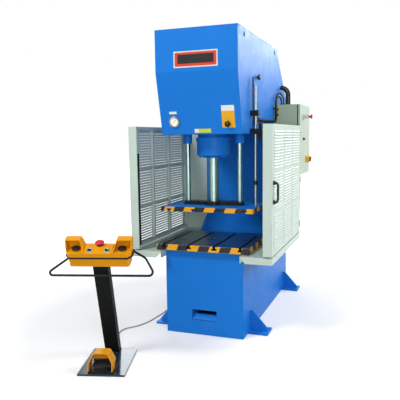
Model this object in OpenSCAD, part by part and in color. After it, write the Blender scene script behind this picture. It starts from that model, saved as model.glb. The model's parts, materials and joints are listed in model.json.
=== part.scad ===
// C-frame hydraulic press with guard doors, a cabinet and a two-hand control pedestal.
// Millimetres. +X is the operator's right, +Y the rear and +Z up.
// The origin is on the floor under the ram's axis.

/* [Frame] */
// Width over the two side plates
frame_width = 600; // [560:5:640]
// Thickness of a side plate
plate_t = 35; // [25:1:45]
// Height over the top cover
frame_height = 2205; // [2150:5:2400]
// Underside of the head above the floor
head_bottom = 1486; // [1470:2:1520]
// Height of the upright face above the fold in the front cover
front_face_h = 291; // [240:1:340]
// Front cover ahead of the ram's axis, above its fold
head_front = 366; // [340:2:400]
// Front cover ahead of the ram's axis, at its lower edge
head_lip = 264; // [255:1:300]
// Rear cover behind the ram's axis
frame_rear = 1320; // [1300:5:1400]
// Rear end of the flat top behind the ram's axis
top_rear = 831; // [790:2:880]
// Base front ahead of the ram's axis
base_front = 250; // [225:1:275]
// Throat wall behind the ram's axis
throat_depth = 700; // [680:2:730]
// Sheet thickness of the covers
sheet_t = 4; // [2:0.5:6]
// Width of the slot in the base front
slot_w = 192; // [150:2:220]
// Height of the slot in the base front
slot_h = 80; // [60:2:110]

/* [Table] */
// Table width
table_w = 700; // [660:5:760]
// Table depth
table_d = 600; // [560:5:640]
// Table thickness
table_t = 45; // [40:1:60]
// Table top above the floor
table_top = 686; // [670:2:700]
// Distance between T-slots
tslot_pitch = 195; // [160:1:205]
// Mouth width of a T-slot
tslot_mouth = 20; // [14:1:24]
// Bore in the middle of the table
table_bore = 50; // [30:1:70]

/* [Ram] */
// Platen width
platen_w = 710; // [690:5:730]
// Platen depth
platen_d = 390; // [360:5:420]
// Platen thickness
platen_t = 36; // [32:1:44]
// Underside of the platen in the pose shown
platen_bottom = 916; // [890:2:930]
// Yoke thickness
yoke_t = 29; // [24:1:34]
// Piston rod diameter
rod_d = 75; // [60:1:85]
// Guide column diameter
column_d = 35; // [28:1:40]
// Distance between the guide columns
column_span = 414; // [400:2:430]
// Gland diameter
gland_d = 250; // [230:2:262]
// Limit rod diameter
limit_d = 16; // [12:1:18]

/* [Guards] */
// Outer face of a guard door from the middle
guard_x = 530; // [515:1:560]
// Front of a guard door ahead of the ram's axis
guard_front = 356; // [330:2:380]
// Door underside above the floor
guard_bottom = 647; // [643:1:660]
// Door top above the floor
guard_top = 1548; // [1540:2:1556]
// Width of the front post
post_w = 63; // [50:1:75]
// Louvres between two rails
louvre_rows = 13; // [9:1:14]

/* [Cabinet] */
// Cabinet width, out from the side plate
cabinet_w = 222; // [200:2:240]
// Cabinet depth, front to back
cabinet_d = 516; // [480:2:540]
// Cabinet underside above the floor
cabinet_z = 1130; // [1100:5:1160]
// Cabinet height
cabinet_h = 600; // [580:5:620]

/* [Pedestal] */
// Turn of the pedestal about the vertical
pedestal_turn = 15.9; // [10:0.1:22]
// Lean of the column and the console
lean = 19.8; // [15:0.1:24]
// Column length along its lean
column_l = 720; // [690:2:750]
// Console width over its hoods
console_w = 414; // [400:2:440]
// Diameter of the bent rail
rail_d = 15; // [12:0.5:18]
// Control cable diameter
cable_d = 9; // [7:0.5:11]

/* [Fits] */
// Running clearance on a radius
run_gap = 0.05; // [0.02:0.01:0.1]
// Clearance of a seat on a radius
seat_gap = 0.15; // [0.1:0.01:0.25]
// Gap between moving bodies
body_gap = 0.5; // [0.3:0.1:1]

/* [Hidden] */
round_fn = 48;
half = frame_width / 2;
inner = half - plate_t;
fold_height = frame_height - front_face_h;
fold_in = sheet_t * 0.4;
knee_z = frame_height - (frame_rear - top_rear) * 0.9226;
front_t = 20;
base_top = table_top - table_t;
base_y = front_t - base_front;
slot_z = 110;
pocket_d = 105;
throat_run = 190;
throat_low = throat_depth - throat_run;
throat_z = base_top + throat_run * 0.72;
web_in = 12;
web_t = 25;
web_y = throat_depth + web_in;
head_plate_t = 50;
head_top = head_bottom + head_plate_t;
slope = atan2(head_front - head_lip, fold_height - head_bottom);
foot_size = 150;
foot_t = 15;
foot_front = -52;
foot_rear = 1180;
bolt_x = half + 95;
bolt_dy = 45;
bolt_r = 11;

// Table and platen
tape_t = 1;
tslot_x = [-1.5, -0.5, 0.5, 1.5] * tslot_pitch;
tslot_depth = 16;
tslot_base_h = 13;
tslot_base = tslot_mouth + 18;
platen_top = platen_bottom + platen_t;
yoke_top = platen_top + yoke_t;
pslot_depth = 11;
pslot_base_h = 11;
column_x = column_span / 2;

// Cylinder, from its gland up
gland_top = head_bottom - 55;
gland_bottom = gland_top - 105;
barrel_d = gland_d - 20;
barrel_bore = barrel_d - 40;
barrel_top = frame_height - 165;
piston_z = 1610;
piston_h = 80;
bush_bottom = head_bottom - 68;
spigot_r = column_d / 2 + 8;

// Limit rod beside the right side plate
limit_x = half + 35;
limit_y = -28;
limit_top = platen_top + 880;
limit_gap = 0.3;
collar_z = platen_top + 161;
block_z = [head_bottom - 5, head_bottom + 127];
block_h = 40;

// Guards
panel_t = 2;
rear_y = 721;
door_rear = rear_y - 6;
hinge_x = guard_x + 6;
hinge_y = rear_y + 2;
hinge_r = 6;
hinge_pin = 3;
hinge_h = 48;
hinge_zs = [717, 1093, 1479];
stile_ys = [28, 348];
rail_zs = [950, 1235];
stiff_w = 20;
post_d = 40;
tray_top = 636;
tray_lip = 49;
louvre_cols = [[-292, 12], [44, 332], [364, 676]];
tier_gap = 11;
tiers = [[guard_bottom + 34, rail_zs[0] - tier_gap], [rail_zs[0] + tier_gap, rail_zs[1] - tier_gap],
  [rail_zs[1] + tier_gap, guard_top - 34]];
handle_z = 1087;
handle_y = -324;
handle_w = 25;

// Cabinet
cab_y = rear_y + 25;
cab_y1 = cab_y + cabinet_d;
door_d = 16;
gasket_t = 8;
cab_body_x = half + cabinet_w - door_d - body_gap - gasket_t;
cab_x = half + cabinet_w;
cab_top = cabinet_z + cabinet_h;
cab_hinge = [cab_x - 8, cab_y1 + 6];
cab_hinge_r = 5;
cab_hinge_zs = [cabinet_z + 100, cab_top - 100];
stop_pos = [cab_y + 172, cab_top - 102];
switch_pos = [cab_y + 340, cab_top - 477];
switch_h = 30;

// Front plate fittings, along the sloped cover
slope_h = fold_height - head_bottom;
gauge_pos = [-196, head_bottom + slope_h * 0.2126];
knob_pos = [205, head_bottom + slope_h * 0.1636];
gauge_plate_pos = [-200, gauge_pos[1] + 62];
strip_pos = [14, head_bottom + 24];
gauge_r = 36;
gauge_bore = 28;
knob_shaft = 5;

// Pedestal
pedestal_at = [-519, -1165, 0];
plate_h = 12;
foot_mid = [142, 387];
console_half = console_w / 2;
console_d = 52;
console_cut = [28, 34];
tub_half = console_half - 15;
tub_h = 58;
flange_t = 12;
shell_z = tub_h + flange_t;
deck_z = shell_z + 28;
deck_slope = 15.4;
deck_front = deck_z - 1;
deck_ridge = deck_front + (console_d + 12) * tan(deck_slope);
hood_top = 165;
palm_u = 146;
palm_r = 12;
stop_v = 30;
boss_top = deck_ridge + 5.4;
stop_r = 11;
push_u = 55;
push_r = 11;
rail_drop = [-48, -65];
rail_start = [35, 64];
pedal_x = 146;
pedal_y0 = 20;
pedal_y1 = 165;
pedal_half = 83;
pedal_top = 122;
pedal_pin = [140, 50];
pedal_pin_r = 5;

// Route of the control cable, on round points chosen by hand
cable_r = cable_d / 2;
cable_path = [[-491, -745, 62], [-496, -727, 67], [-506, -698, 46], [-526, -650, 12], [-562, -568, cable_r],
  [-604, -485, cable_r], [-630, -390, cable_r], [-620, -318, cable_r], [-582, -270, cable_r],
  [-548, -210, cable_r], [-518, -108, cable_r], [-502, 50, cable_r], [-496, 180, cable_r],
  [-480, 320, cable_r], [-448, 440, cable_r], [-412, 530, 14], [-374, 585, 66], [-342, 599, 104],
  [-half - 18.2, 600, 110]];

// Box between two opposite corners
module span(a, b) {
  translate(a)
    cube(b - a);
}

// Upright cylinder between two heights
module post(at, z0, z1, r) {
  translate([at[0], at[1], z0])
    cylinder(r = r, h = z1 - z0, $fn = round_fn);
}

// Outline in Y and Z, drawn out along X
module along_x(x0, x1) {
  translate([x0, 0, 0])
    rotate([90, 0, 90])
      linear_extrude(x1 - x0)
        children();
}

// Outline in X and Z, drawn out along Y
module along_y(y0, y1) {
  translate([0, y1, 0])
    rotate([90, 0, 0])
      linear_extrude(y1 - y0)
        children();
}

// Rectangle between two corners
module plane(a, b) {
  translate(a)
    square(b - a);
}

// Left copy and right copy of a guard piece
module on_left() {
  mirror([1, 0, 0])
    children();
}

// Place on the sloped front cover, Z along its outward normal
module on_slope(at) {
  y = -head_lip - (at[1] - head_bottom) * tan(slope);
  translate([at[0], y, at[1]])
    rotate([90 + slope, 0, 0])
      children();
}

module on_pedestal() {
  translate(pedestal_at)
    rotate([0, 0, pedestal_turn])
      children();
}

// Frame of the console, on top of the leaning column
module on_console() {
  on_pedestal()
    translate([foot_mid[0], foot_mid[1] - column_l * sin(lean), plate_h + column_l * cos(lean)])
      rotate([lean, 0, 0])
        children();
}

// Place on the sloped deck between the hoods
module on_deck(u) {
  on_console()
    translate([u, -25, deck_front + (console_d - 25) * tan(deck_slope)])
      rotate([deck_slope, 0, 0])
        children();
}

// Tube out from the side plate, round a bend and down to a height
module elbow_down(at, bend, z1, r) {
  flat = bent([[at[0], at[2]], [at[0] + bend + 0.5, at[2]], [at[0] + bend + 0.5, z1]], [0, bend, 0]);
  swept_tube([for (q = flat) [q[0], at[1], q[1]]], r, 12, [0, 1, 0]);
}

// Flat arch over from one upright tube to another, then down to a height
module loop_over(p, q, z, z1, r) {
  mid = (p + q) / 2;
  arm = (p - q) / 2;
  rise = 0.7 * norm(arm);
  over = [
    for (k = [0 : 16])
      let (c = mid + arm * cos(k * 11.25))
        [c[0], c[1], z + rise * sin(k * 11.25)]];
  swept_tube(concat([[p[0], p[1], z - 15]], over, [[q[0], q[1], z1]]), r, 12, [arm[1], -arm[0], 0]);
}

function unit(v) = v / norm(v);

function bend_tangent(p, i, bend) =
  let (a = unit(p[i] - p[i - 1]), b = unit(p[i + 1] - p[i]))
    bend * tan(acos(a * b) / 2);

// Points round one corner of a planar route
function corner(p, i, bend, steps) =
  let (
    a = unit(p[i] - p[i - 1]),
    b = unit(p[i + 1] - p[i]),
    side = sign(a[0] * b[1] - a[1] * b[0]),
    start = p[i] - a * bend_tangent(p, i, bend),
    mid = start + side * bend * [-a[1], a[0]],
    arm = start - mid
  )
    [for (k = [0 : steps])
      let (t = side * acos(a * b) * k / steps)
        mid + [arm[0] * cos(t) - arm[1] * sin(t), arm[0] * sin(t) + arm[1] * cos(t)]];

// Planar route with rounded corners
function bent(p, bends) = concat(
  [p[0]],
  [for (i = [1 : len(p) - 2]) each corner(p, i, bends[i], 10)],
  [p[len(p) - 1]]);

function plate_edge() = [
  [base_y, 0],
  [frame_rear - sheet_t, 0],
  [frame_rear - sheet_t, knee_z - fold_in],
  [top_rear - fold_in, frame_height - sheet_t],
  [sheet_t - head_front, frame_height - sheet_t],
  [sheet_t - head_front, fold_height],
  [sheet_t - head_lip, head_bottom],
  [throat_depth - 50, head_bottom],
  [throat_depth, head_bottom - 50],
  [throat_depth, throat_z],
  [throat_low, base_top],
  [base_y, base_top]];

module side_plate() {
  along_x(inner, half)
    difference() {
      polygon(plate_edge());
      for (y = [-207, 745])
        translate([y, frame_height - 42])
          circle(d = 40, $fn = round_fn);
    }
}

module left_side_plate() {
  color("royalblue")
    on_left()
      side_plate();
}

module right_side_plate() {
  color("royalblue")
    side_plate();
}

module base_plates() {
  color("royalblue") {
    along_y(-base_front, base_y)
      difference() {
        plane([-half, 0], [half, base_top]);
        plane([-slot_w / 2, slot_z], [slot_w / 2, slot_z + slot_h]);
      }
    // pocket behind the slot, open at its rear
    difference() {
      span([-slot_w / 2 - 8, base_y - 1, slot_z - 8], [slot_w / 2 + 8, base_y + pocket_d, slot_z + slot_h]);
      span([-slot_w / 2, base_y - 2, slot_z], [slot_w / 2, base_y + pocket_d + 1, slot_z + slot_h + 1]);
    }
    span([-inner, base_y, 0], [inner, frame_rear - sheet_t, 20]);
    difference() {
      span([-inner, base_y, base_top - 40], [inner, throat_low + web_in + 42, base_top]);
      post([0, 0], base_top - 41, base_top + 1, table_bore / 2 + 5);
    }
  }
}

module throat_web() {
  color("mediumblue")
    along_x(-inner, inner)
      polygon([
        [throat_low + web_in, base_top],
        [web_y, throat_z],
        [web_y, head_bottom],
        [web_y + web_t, head_bottom],
        [web_y + web_t, throat_z - 12],
        [throat_low + web_in + 42, base_top]]);
}

module head_plate() {
  color("mediumblue")
    difference() {
      span([-inner, 24 - head_lip, head_bottom], [inner, web_y + web_t, head_top]);
      post([0, 0], head_bottom - 1, head_top + 1, barrel_d / 2 + seat_gap);
      for (s = [-1, 1])
        post([s * column_x, 0], head_bottom - 1, head_top + 1, spigot_r + seat_gap);
    }
}

module head_front_cover() {
  color("dodgerblue")
    difference() {
      along_x(-half, half)
        polygon([
          [-head_front, frame_height - sheet_t],
          [-head_front, fold_height],
          [-head_lip, head_bottom],
          [sheet_t - head_lip, head_bottom],
          [sheet_t - head_front, fold_height],
          [sheet_t - head_front, frame_height - sheet_t]]);
      on_slope(gauge_pos)
        translate([0, 0, -20])
          cylinder(r = gauge_bore + seat_gap, h = 40, $fn = round_fn);
      on_slope(knob_pos)
        translate([0, 0, -20])
          cylinder(r = knob_shaft + run_gap, h = 40, $fn = round_fn);
    }
}

module top_rear_cover() {
  color("steelblue")
    along_x(-half, half)
      polygon([
        [-head_front, frame_height],
        [top_rear, frame_height],
        [frame_rear, knee_z],
        [frame_rear, 60],
        [frame_rear - sheet_t, 60],
        [frame_rear - sheet_t, knee_z - fold_in],
        [top_rear - fold_in, frame_height - sheet_t],
        [-head_front, frame_height - sheet_t]]);
}

module anchor_foot(y) {
  translate([0, y, 0]) {
    difference() {
      span([half, -foot_size / 2, 0], [half + foot_size, foot_size / 2, foot_t]);
      for (s = [-1, 1])
        post([bolt_x, s * bolt_dy], -1, foot_t + 1, bolt_r);
    }
    along_y(-7.5, 7.5)
      polygon([
        [half, foot_t],
        [half + 137, foot_t],
        [half + 137, foot_t + 14],
        [half + 22, 160],
        [half, 160]]);
  }
}

module anchor_feet() {
  color("dodgerblue")
    for (y = [foot_front, foot_rear]) {
      anchor_foot(y);
      on_left()
        anchor_foot(y);
    }
}

// T-slot outline, open at the top
module table_slot(x) {
  plane([x - tslot_mouth / 2, table_top - tslot_depth - 1], [x + tslot_mouth / 2, table_top + 1]);
  plane(
    [x - tslot_base / 2, table_top - tslot_depth - tslot_base_h],
    [x + tslot_base / 2, table_top - tslot_depth]
  );
}

module bolster_table() {
  color("slategray")
    difference() {
      along_y(-table_d / 2, table_d / 2)
        difference() {
          plane([-table_w / 2, base_top], [table_w / 2, table_top]);
          for (x = tslot_x)
            table_slot(x);
        }
      post([0, 0], base_top - 1, table_top + 1, table_bore / 2);
    }
}

module table_edge_tape() {
  color("gold") {
    along_y(-table_d / 2 - tape_t, -table_d / 2)
      difference() {
        plane([-table_w / 2 - tape_t, base_top + 2], [table_w / 2 + tape_t, table_top - 1]);
        for (x = tslot_x)
          table_slot(x);
      }
    for (s = [-1, 1])
      translate([s * (table_w / 2 + tape_t / 2), 0, 0])
        span([-tape_t / 2, -table_d / 2 - tape_t, base_top + 2], [tape_t / 2, table_d / 2, table_top - 1]);
  }
}

module cylinder_barrel() {
  color("navy")
    difference() {
      union() {
        post([0, 0], gland_top, gland_top + 32, gland_d / 2 + 6);
        post([0, 0], gland_top, barrel_top, barrel_d / 2);
        post([0, 0], head_top, head_top + 30, barrel_d / 2 + 35);
      }
      post([0, 0], gland_top - 1, barrel_top - 30, barrel_bore / 2);
    }
}

module cylinder_gland() {
  color("mediumblue") {
    difference() {
      union() {
        post([0, 0], gland_bottom + 6, gland_top, gland_d / 2);
        translate([0, 0, gland_bottom])
          cylinder(r1 = gland_d / 2 - 6, r2 = gland_d / 2, h = 6, $fn = round_fn);
        post([0, 0], gland_bottom - 15, gland_bottom, rod_d / 2 + 26);
      }
      post([0, 0], gland_bottom - 16, gland_top + 1, rod_d / 2 + run_gap);
    }
    for (i = [0 : 7])
      rotate([0, 0, 22.5 + i * 45])
        post([gland_d / 2 - 25, 0], gland_bottom - 14, gland_bottom, 11);
  }
}

module guide_bushes() {
  color("navy")
    for (s = [-1, 1])
      translate([s * column_x, 0, 0])
        difference() {
          union() {
            post([0, 0], bush_bottom, head_bottom, column_d / 2 + 16);
            post([0, 0], head_bottom, head_top + 20, spigot_r);
          }
          post([0, 0], bush_bottom - 1, head_top + 21, column_d / 2 + run_gap);
        }
}

module oil_tank() {
  color("dimgray")
    difference() {
      span([-220, 780, 20], [220, 1240, 520]);
      span([-216, 784, 24], [216, 1236, 516]);
      post([150, 1160], 515, 521, 35);
    }
}

module power_unit() {
  color("gray") {
    post([0, 1010], 520, 536, 105);
    post([0, 1010], 536, 800, 92);
    post([0, 1010], 800, 850, 98);
    for (i = [0 : 15])
      rotate_about([0, 1010], i * 22.5)
        span([90, -2, 545], [100, 2, 795]);
    span([-60, 900, 640], [60, 930, 740]);
    span([-190, 820, 520], [-70, 900, 620]);
  }
}

module rotate_about(at, turn) {
  translate([at[0], at[1], 0])
    rotate([0, 0, turn])
      children();
}

module limit_switch_bracket() {
  rod = [limit_x, limit_y];
  color("black") {
    difference() {
      union() {
        span([half, limit_y - 20, block_z[0]], [limit_x + 50, limit_y + 20, block_z[0] + block_h]);
        span([half, limit_y - 20, block_z[1]], [limit_x + 24, limit_y + 20, block_z[1] + block_h]);
        span([limit_x - 23, limit_y - 6, block_z[0]], [limit_x - 13, limit_y + 6, block_z[1] + 276]);
        span([limit_x + 24, limit_y + 8, block_z[0] - 34], [limit_x + 50, limit_y + 14, block_z[0] + 80]);
      }
      post(rod, block_z[0] - 1, block_z[1] + block_h + 1, limit_d / 2 + limit_gap);
    }
    for (z = [block_z[0] - 32, block_z[0] + 46])
      span([limit_x + 26, limit_y - 22, z], [limit_x + 48, limit_y + 8, z + 30]);
    span([half, 60, block_z[0] + 82], [half + 26, 110, block_z[0] + 132]);
    translate([half, 150, fold_height - 9])
      rotate([0, 90, 0]) {
        cylinder(r = 6, h = 10, $fn = round_fn);
        translate([0, 0, 10])
          for (a = [30 : 120 : 270])
            rotate([0, 0, a])
              translate([-5, -18, 0])
                cube([10, 36, 12]);
      }
  }
}

module guard_tray() {
  front = -guard_front + 11;
  rear = rear_y + 25;
  span([half, front, tray_top - 3], [guard_x, rear, tray_top]);
  span([guard_x - 3, front, tray_top - tray_lip], [guard_x, rear, tray_top]);
  span([half, front, tray_top - tray_lip], [half + 3, rear, tray_top]);
  along_y(front, front + 3)
    polygon([
      [half + 40, tray_top - tray_lip],
      [guard_x, tray_top - tray_lip],
      [guard_x, tray_top],
      [half, tray_top],
      [half, tray_top - 8]]);
}

module guard_trays() {
  color("beige") {
    guard_tray();
    on_left()
      guard_tray();
  }
}

module rear_guard_panel() {
  span([half, rear_y, tray_top], [guard_x, rear_y + panel_t, guard_top]);
  span([guard_x - panel_t, rear_y, tray_top], [guard_x, rear_y + 24, guard_top]);
  span([half, rear_y, tray_top], [half + panel_t, rear_y + 24, guard_top]);
}

module rear_guard_panels() {
  color("beige") {
    rear_guard_panel();
    on_left()
      rear_guard_panel();
  }
}

module fixed_hinge(z) {
  mid = [hinge_x, hinge_y];
  span([guard_x, hinge_y + hinge_r, z - hinge_h / 2], [guard_x + 3, hinge_y + 22, z + hinge_h / 2]);
  span([guard_x, hinge_y + 2, z - hinge_h / 2], [guard_x + 3, hinge_y + hinge_r, z - body_gap / 2]);
  post(mid, z - hinge_h / 2, z - body_gap / 2, hinge_r);
  post(mid, z - body_gap, z + hinge_h / 2, hinge_pin);
}

module guard_hinges() {
  color("gray")
    for (z = hinge_zs) {
      fixed_hinge(z);
      on_left()
        fixed_hinge(z);
    }
}

// One louvre, its lower edge bent out over the slit
module louvre(pitch) {
  polygon([[-panel_t, pitch], [0, pitch], [0, 10], [6, 3], [4.6, 1.6], [-panel_t, 8.5]]);
}

module door_panel() {
  difference() {
    span([guard_x - panel_t, -guard_front, guard_bottom], [guard_x, door_rear, guard_top]);
    for (c = louvre_cols)
      for (t = tiers)
        span([guard_x - panel_t - 1, c[0], t[0]], [guard_x + 1, c[1], t[1]]);
  }
  // cheeks that close the ends of the louvres
  for (c = louvre_cols)
    for (y = [c[0], c[1] - 1.5])
      along_y(y, y + 1.5)
        for (t = tiers)
          for (i = [0 : louvre_rows - 1])
            translate([guard_x, t[0] + i * (t[1] - t[0]) / louvre_rows])
              polygon([[-panel_t, 0], [-panel_t, 9], [0, 11], [6, 3], [4.6, 1.6], [0, 0]]);
  for (c = louvre_cols)
    along_y(c[0] - 1, c[1] + 1)
      for (t = tiers)
        for (i = [0 : louvre_rows - 1])
          translate([guard_x, t[0] + i * (t[1] - t[0]) / louvre_rows])
            louvre((t[1] - t[0]) / louvre_rows);
}

module door_hinge(z) {
  mid = [hinge_x, hinge_y];
  span(
    [guard_x, door_rear - 32, z - hinge_h / 2],
    [guard_x + 3, hinge_y - hinge_r - body_gap, z + hinge_h / 2]
  );
  difference() {
    union() {
      post(mid, z + body_gap / 2, z + hinge_h / 2, hinge_r);
      span([guard_x, hinge_y - hinge_r - 2, z + body_gap / 2], [guard_x + 3, hinge_y - 2, z + hinge_h / 2]);
    }
    post(mid, z - hinge_h, z + hinge_h, hinge_pin + run_gap);
  }
}

module door_frame() {
  face = guard_x - panel_t;
  depth = 27;
  // front post, a box section open at neither side
  along_y(-guard_front, -guard_front + panel_t)
    plane([guard_x - post_w, guard_bottom], [face, guard_top]);
  along_y(-guard_front + post_d - panel_t, -guard_front + post_d)
    plane([guard_x - post_w, guard_bottom], [face, guard_top]);
  span(
    [guard_x - post_w, -guard_front, guard_bottom],
    [guard_x - post_w + panel_t, post_d - guard_front, guard_top]
  );
  // returns along the top, the bottom and the rear
  for (z = [guard_bottom, guard_top - panel_t])
    span([face - depth, post_d - guard_front, z], [face, door_rear, z + panel_t]);
  for (z = [guard_bottom, guard_top - 28])
    span([face - depth, post_d - guard_front, z], [face - depth + panel_t, door_rear, z + 28]);
  span([face - depth, door_rear - panel_t, guard_bottom], [face, door_rear, guard_top]);
  // stiffeners behind the louvres
  for (y = stile_ys)
    span([face - 18, y - stiff_w / 2, guard_bottom], [face, y + stiff_w / 2, guard_top]);
  for (z = rail_zs)
    span([face - 14, post_d - guard_front, z - stiff_w / 2], [face, door_rear, z + stiff_w / 2]);
  for (z = hinge_zs)
    door_hinge(z);
}

module door_handle() {
  translate([guard_x, 0, handle_z])
    along_y(handle_y, handle_y + handle_w)
      polygon([
        [0, -79], [0, -52], [22, -44], [25, -40], [25, 40], [22, 44], [0, 52],
        [0, 79], [14, 79], [32, 70], [39, 58], [39, -58], [32, -70], [14, -79]]);
}

// Rubber strip on the inner face of the post
module post_strip() {
  span([guard_x - post_w - 4, 6 - guard_front, 674], [guard_x - post_w, 28 - guard_front, 1353]);
}

module right_door_panel() {
  color("ivory")
    door_panel();
}

module right_door_frame() {
  color("beige")
    door_frame();
}

module right_door_handle() {
  color("black")
    door_handle();
}

module left_door_panel() {
  color("ivory")
    on_left()
      door_panel();
}

module left_door_frame() {
  color("beige")
    on_left()
      door_frame();
}

module left_door_strip() {
  color("black")
    on_left()
      post_strip();
}

module cabinet_body() {
  color("darkseagreen") {
    difference() {
      span([half, cab_y, cabinet_z], [cab_body_x, cab_y1, cab_top]);
      span([half + 3, cab_y + 3, cabinet_z + 3], [cab_body_x + 1, cab_y1 - 3, cab_top - 3]);
    }
    for (z = cab_hinge_zs) {
      post(cab_hinge, z - 30, z - body_gap, cab_hinge_r);
      span([cab_body_x - 20, cab_y1, z - 30], [cab_body_x - body_gap, cab_hinge[1] + 2, z - body_gap]);
      span([cab_body_x - 1, cab_y1 + body_gap, z - 30], [cab_hinge[0], cab_hinge[1] + 2, z - body_gap]);
      post(cab_hinge, z - 30, z + 30, 2.5);
    }
  }
}

module cabinet_gasket() {
  color("black")
    difference() {
      span([cab_body_x, cab_y + 2, cabinet_z + 2], [cab_body_x + gasket_t, cab_y1 - 2, cab_top - 2]);
      span([cab_body_x - 1, cab_y + 12, cabinet_z + 12], [cab_body_x + gasket_t + 1, cab_y1 - 12, cab_top - 12]);
    }
}

module cabinet_panel() {
  x = half + 3;
  color("lightgray") {
    span([x, cab_y + 40, cabinet_z + 40], [x + 12, cab_y1 - 40, cab_top - 40]);
    for (z = [cabinet_z + 130, cabinet_z + 290, cabinet_z + 450]) {
      span([x + 12, cab_y + 60, z - 17], [x + 19, cab_y1 - 60, z + 17]);
      for (i = [0 : 4])
        span([x + 19, cab_y + 72 + i * 62, z - 40], [x + 84, cab_y + 117 + i * 62, z + 40]);
    }
  }
}

module gland(at, axis, r) {
  translate(at)
    rotate(axis) {
      cylinder(r = r + 7, h = 8, $fn = 6);
      translate([0, 0, 8])
        cylinder(r = r + 4, h = 10, $fn = round_fn);
    }
}

module conduits() {
  duct_x = half + 24;
  duct_y = rear_y - 6;
  duct_z = block_z[0] + 107;
  up = [duct_x, duct_y];
  duct = [[110, duct_z], [duct_y, duct_z], [duct_y, cab_top + 30]];
  a = [half + 45, cab_y + 193];
  b = [half + 40, cab_y + 130];
  color("black") {
    // limit switch duct along the side plate, then up
    swept_tube([for (q = bent(duct, [0, 40, 0])) [duct_x, q[0], q[1]]], 10, 12, [1, 0, 0]);
    for (y = [230, 430, 630])
      span([half, y - 8, duct_z - 12], [duct_x, y + 8, duct_z + 12]);
    span([half, duct_y - 12, 1690], [duct_x, duct_y + 12, 1706]);
    // two cables over into the top of the cabinet
    loop_over(up, a, cab_top + 23, cab_top, 6.5);
    loop_over(up, b, cab_top + 13, cab_top, 6.5);
    gland([a[0], a[1], cab_top], [0, 0, 0], 6.5);
    gland([b[0], b[1], cab_top], [0, 0, 0], 6.5);
    // two large conduits from the frame into the cabinet
    elbow_down([half, cab_y + 294, cab_top + 170], 70, cab_top, 15);
    elbow_down([half, cab_y + 250, cab_top + 158], 62, cab_top, 13);
    gland([half + 70, cab_y + 294, cab_top], [0, 0, 0], 15);
    gland([half + 62, cab_y + 250, cab_top], [0, 0, 0], 13);
    for (z = [cab_top - 40, cab_top - 85]) {
      gland([half + 29, cab_y, z], [90, 0, 0], 6);
      translate([duct_x + 2, cab_y, z])
        rotate([90, 0, 0])
          cylinder(r = 4, h = cab_y - duct_y, $fn = 24);
    }
    // gland of the control cable, low on the left side
    gland([-half, 600, 110], [0, -90, 0], cable_r);
  }
}

module cabinet_door() {
  x0 = cab_body_x + gasket_t + body_gap;
  color("honeydew") {
    difference() {
      union() {
        difference() {
          span([x0, cab_y, cabinet_z], [cab_x, cab_y1, cab_top]);
          span([x0 - 1, cab_y + 2, cabinet_z + 2], [cab_x - 2, cab_y1 - 2, cab_top - 2]);
        }
        translate([cab_x, stop_pos[0], stop_pos[1]])
          rotate([0, 90, 0]) {
            cylinder(r = 20, h = 6, $fn = round_fn);
            cylinder(r = 13, h = 50, $fn = round_fn);
          }
      }
      translate([cab_x - 3, stop_pos[0], stop_pos[1]])
        rotate([0, 90, 0])
          cylinder(r = 9 + run_gap, h = 56, $fn = round_fn);
      translate([cab_x - 3, switch_pos[0], switch_pos[1]])
        rotate([0, 90, 0])
          cylinder(r = 6 + run_gap, h = 6, $fn = round_fn);
    }
    for (z = cab_hinge_zs)
      difference() {
        union() {
          post(cab_hinge, z, z + 30, cab_hinge_r);
          span([cab_hinge[0] - 4, cab_y1 - 1, z], [cab_hinge[0] + 4, cab_hinge[1], z + 30]);
        }
        post(cab_hinge, z - 1, z + 31, 2.5 + run_gap);
      }
  }
}

module main_switch_plate() {
  color("yellow")
    translate([cab_x, switch_pos[0], switch_pos[1]])
      difference() {
        union() {
          span([0, -32, -32], [4, 32, 32]);
          rotate([0, 90, 0])
            cylinder(r = 30, h = switch_h, $fn = 8);
        }
        rotate([0, 90, 0])
          translate([0, 0, -1])
            cylinder(r = 6 + run_gap, h = switch_h + 2, $fn = round_fn);
      }
}

module main_switch_handle() {
  color("red")
    translate([cab_x, switch_pos[0], switch_pos[1]])
      rotate([0, 90, 0]) {
        translate([0, 0, -2])
          cylinder(r = 6, h = switch_h + 6, $fn = round_fn);
        translate([0, 0, switch_h + body_gap])
          cylinder(r = 17, h = 6, $fn = round_fn);
        translate([-21, -6, switch_h + body_gap])
          cube([42, 12, 17]);
      }
}

module cabinet_stop_button() {
  color("red")
    translate([cab_x, stop_pos[0], stop_pos[1]])
      rotate([0, 90, 0]) {
        translate([0, 0, -1])
          cylinder(r = 9, h = 66, $fn = round_fn);
        translate([0, 0, 60])
          cylinder(r1 = 10, r2 = 22, h = 14, $fn = round_fn);
        translate([0, 0, 74])
          cylinder(r1 = 22, r2 = 18, h = 5, $fn = round_fn);
      }
}

module gauge_case() {
  color("silver")
    on_slope(gauge_pos)
      difference() {
        union() {
          cylinder(r = gauge_r, h = 9, $fn = 64);
          translate([0, 0, -30])
            cylinder(r = gauge_bore, h = 31, $fn = 64);
          translate([0, 0, -48])
            cylinder(r = 8, h = 20, $fn = 6);
        }
        translate([0, 0, 2])
          cylinder(r = gauge_r - 4, h = 10, $fn = 64);
        translate([0, 0, -6])
          cylinder(r = 4, h = 10, $fn = 32);
      }
}

module gauge_dial() {
  color("white")
    on_slope(gauge_pos)
      translate([0, 0, 2])
        difference() {
          cylinder(r = gauge_r - 4 - seat_gap, h = 1.2, $fn = 64);
          translate([0, 0, -1])
            cylinder(r = 1.5 + run_gap, h = 4, $fn = 32);
        }
}

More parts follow.
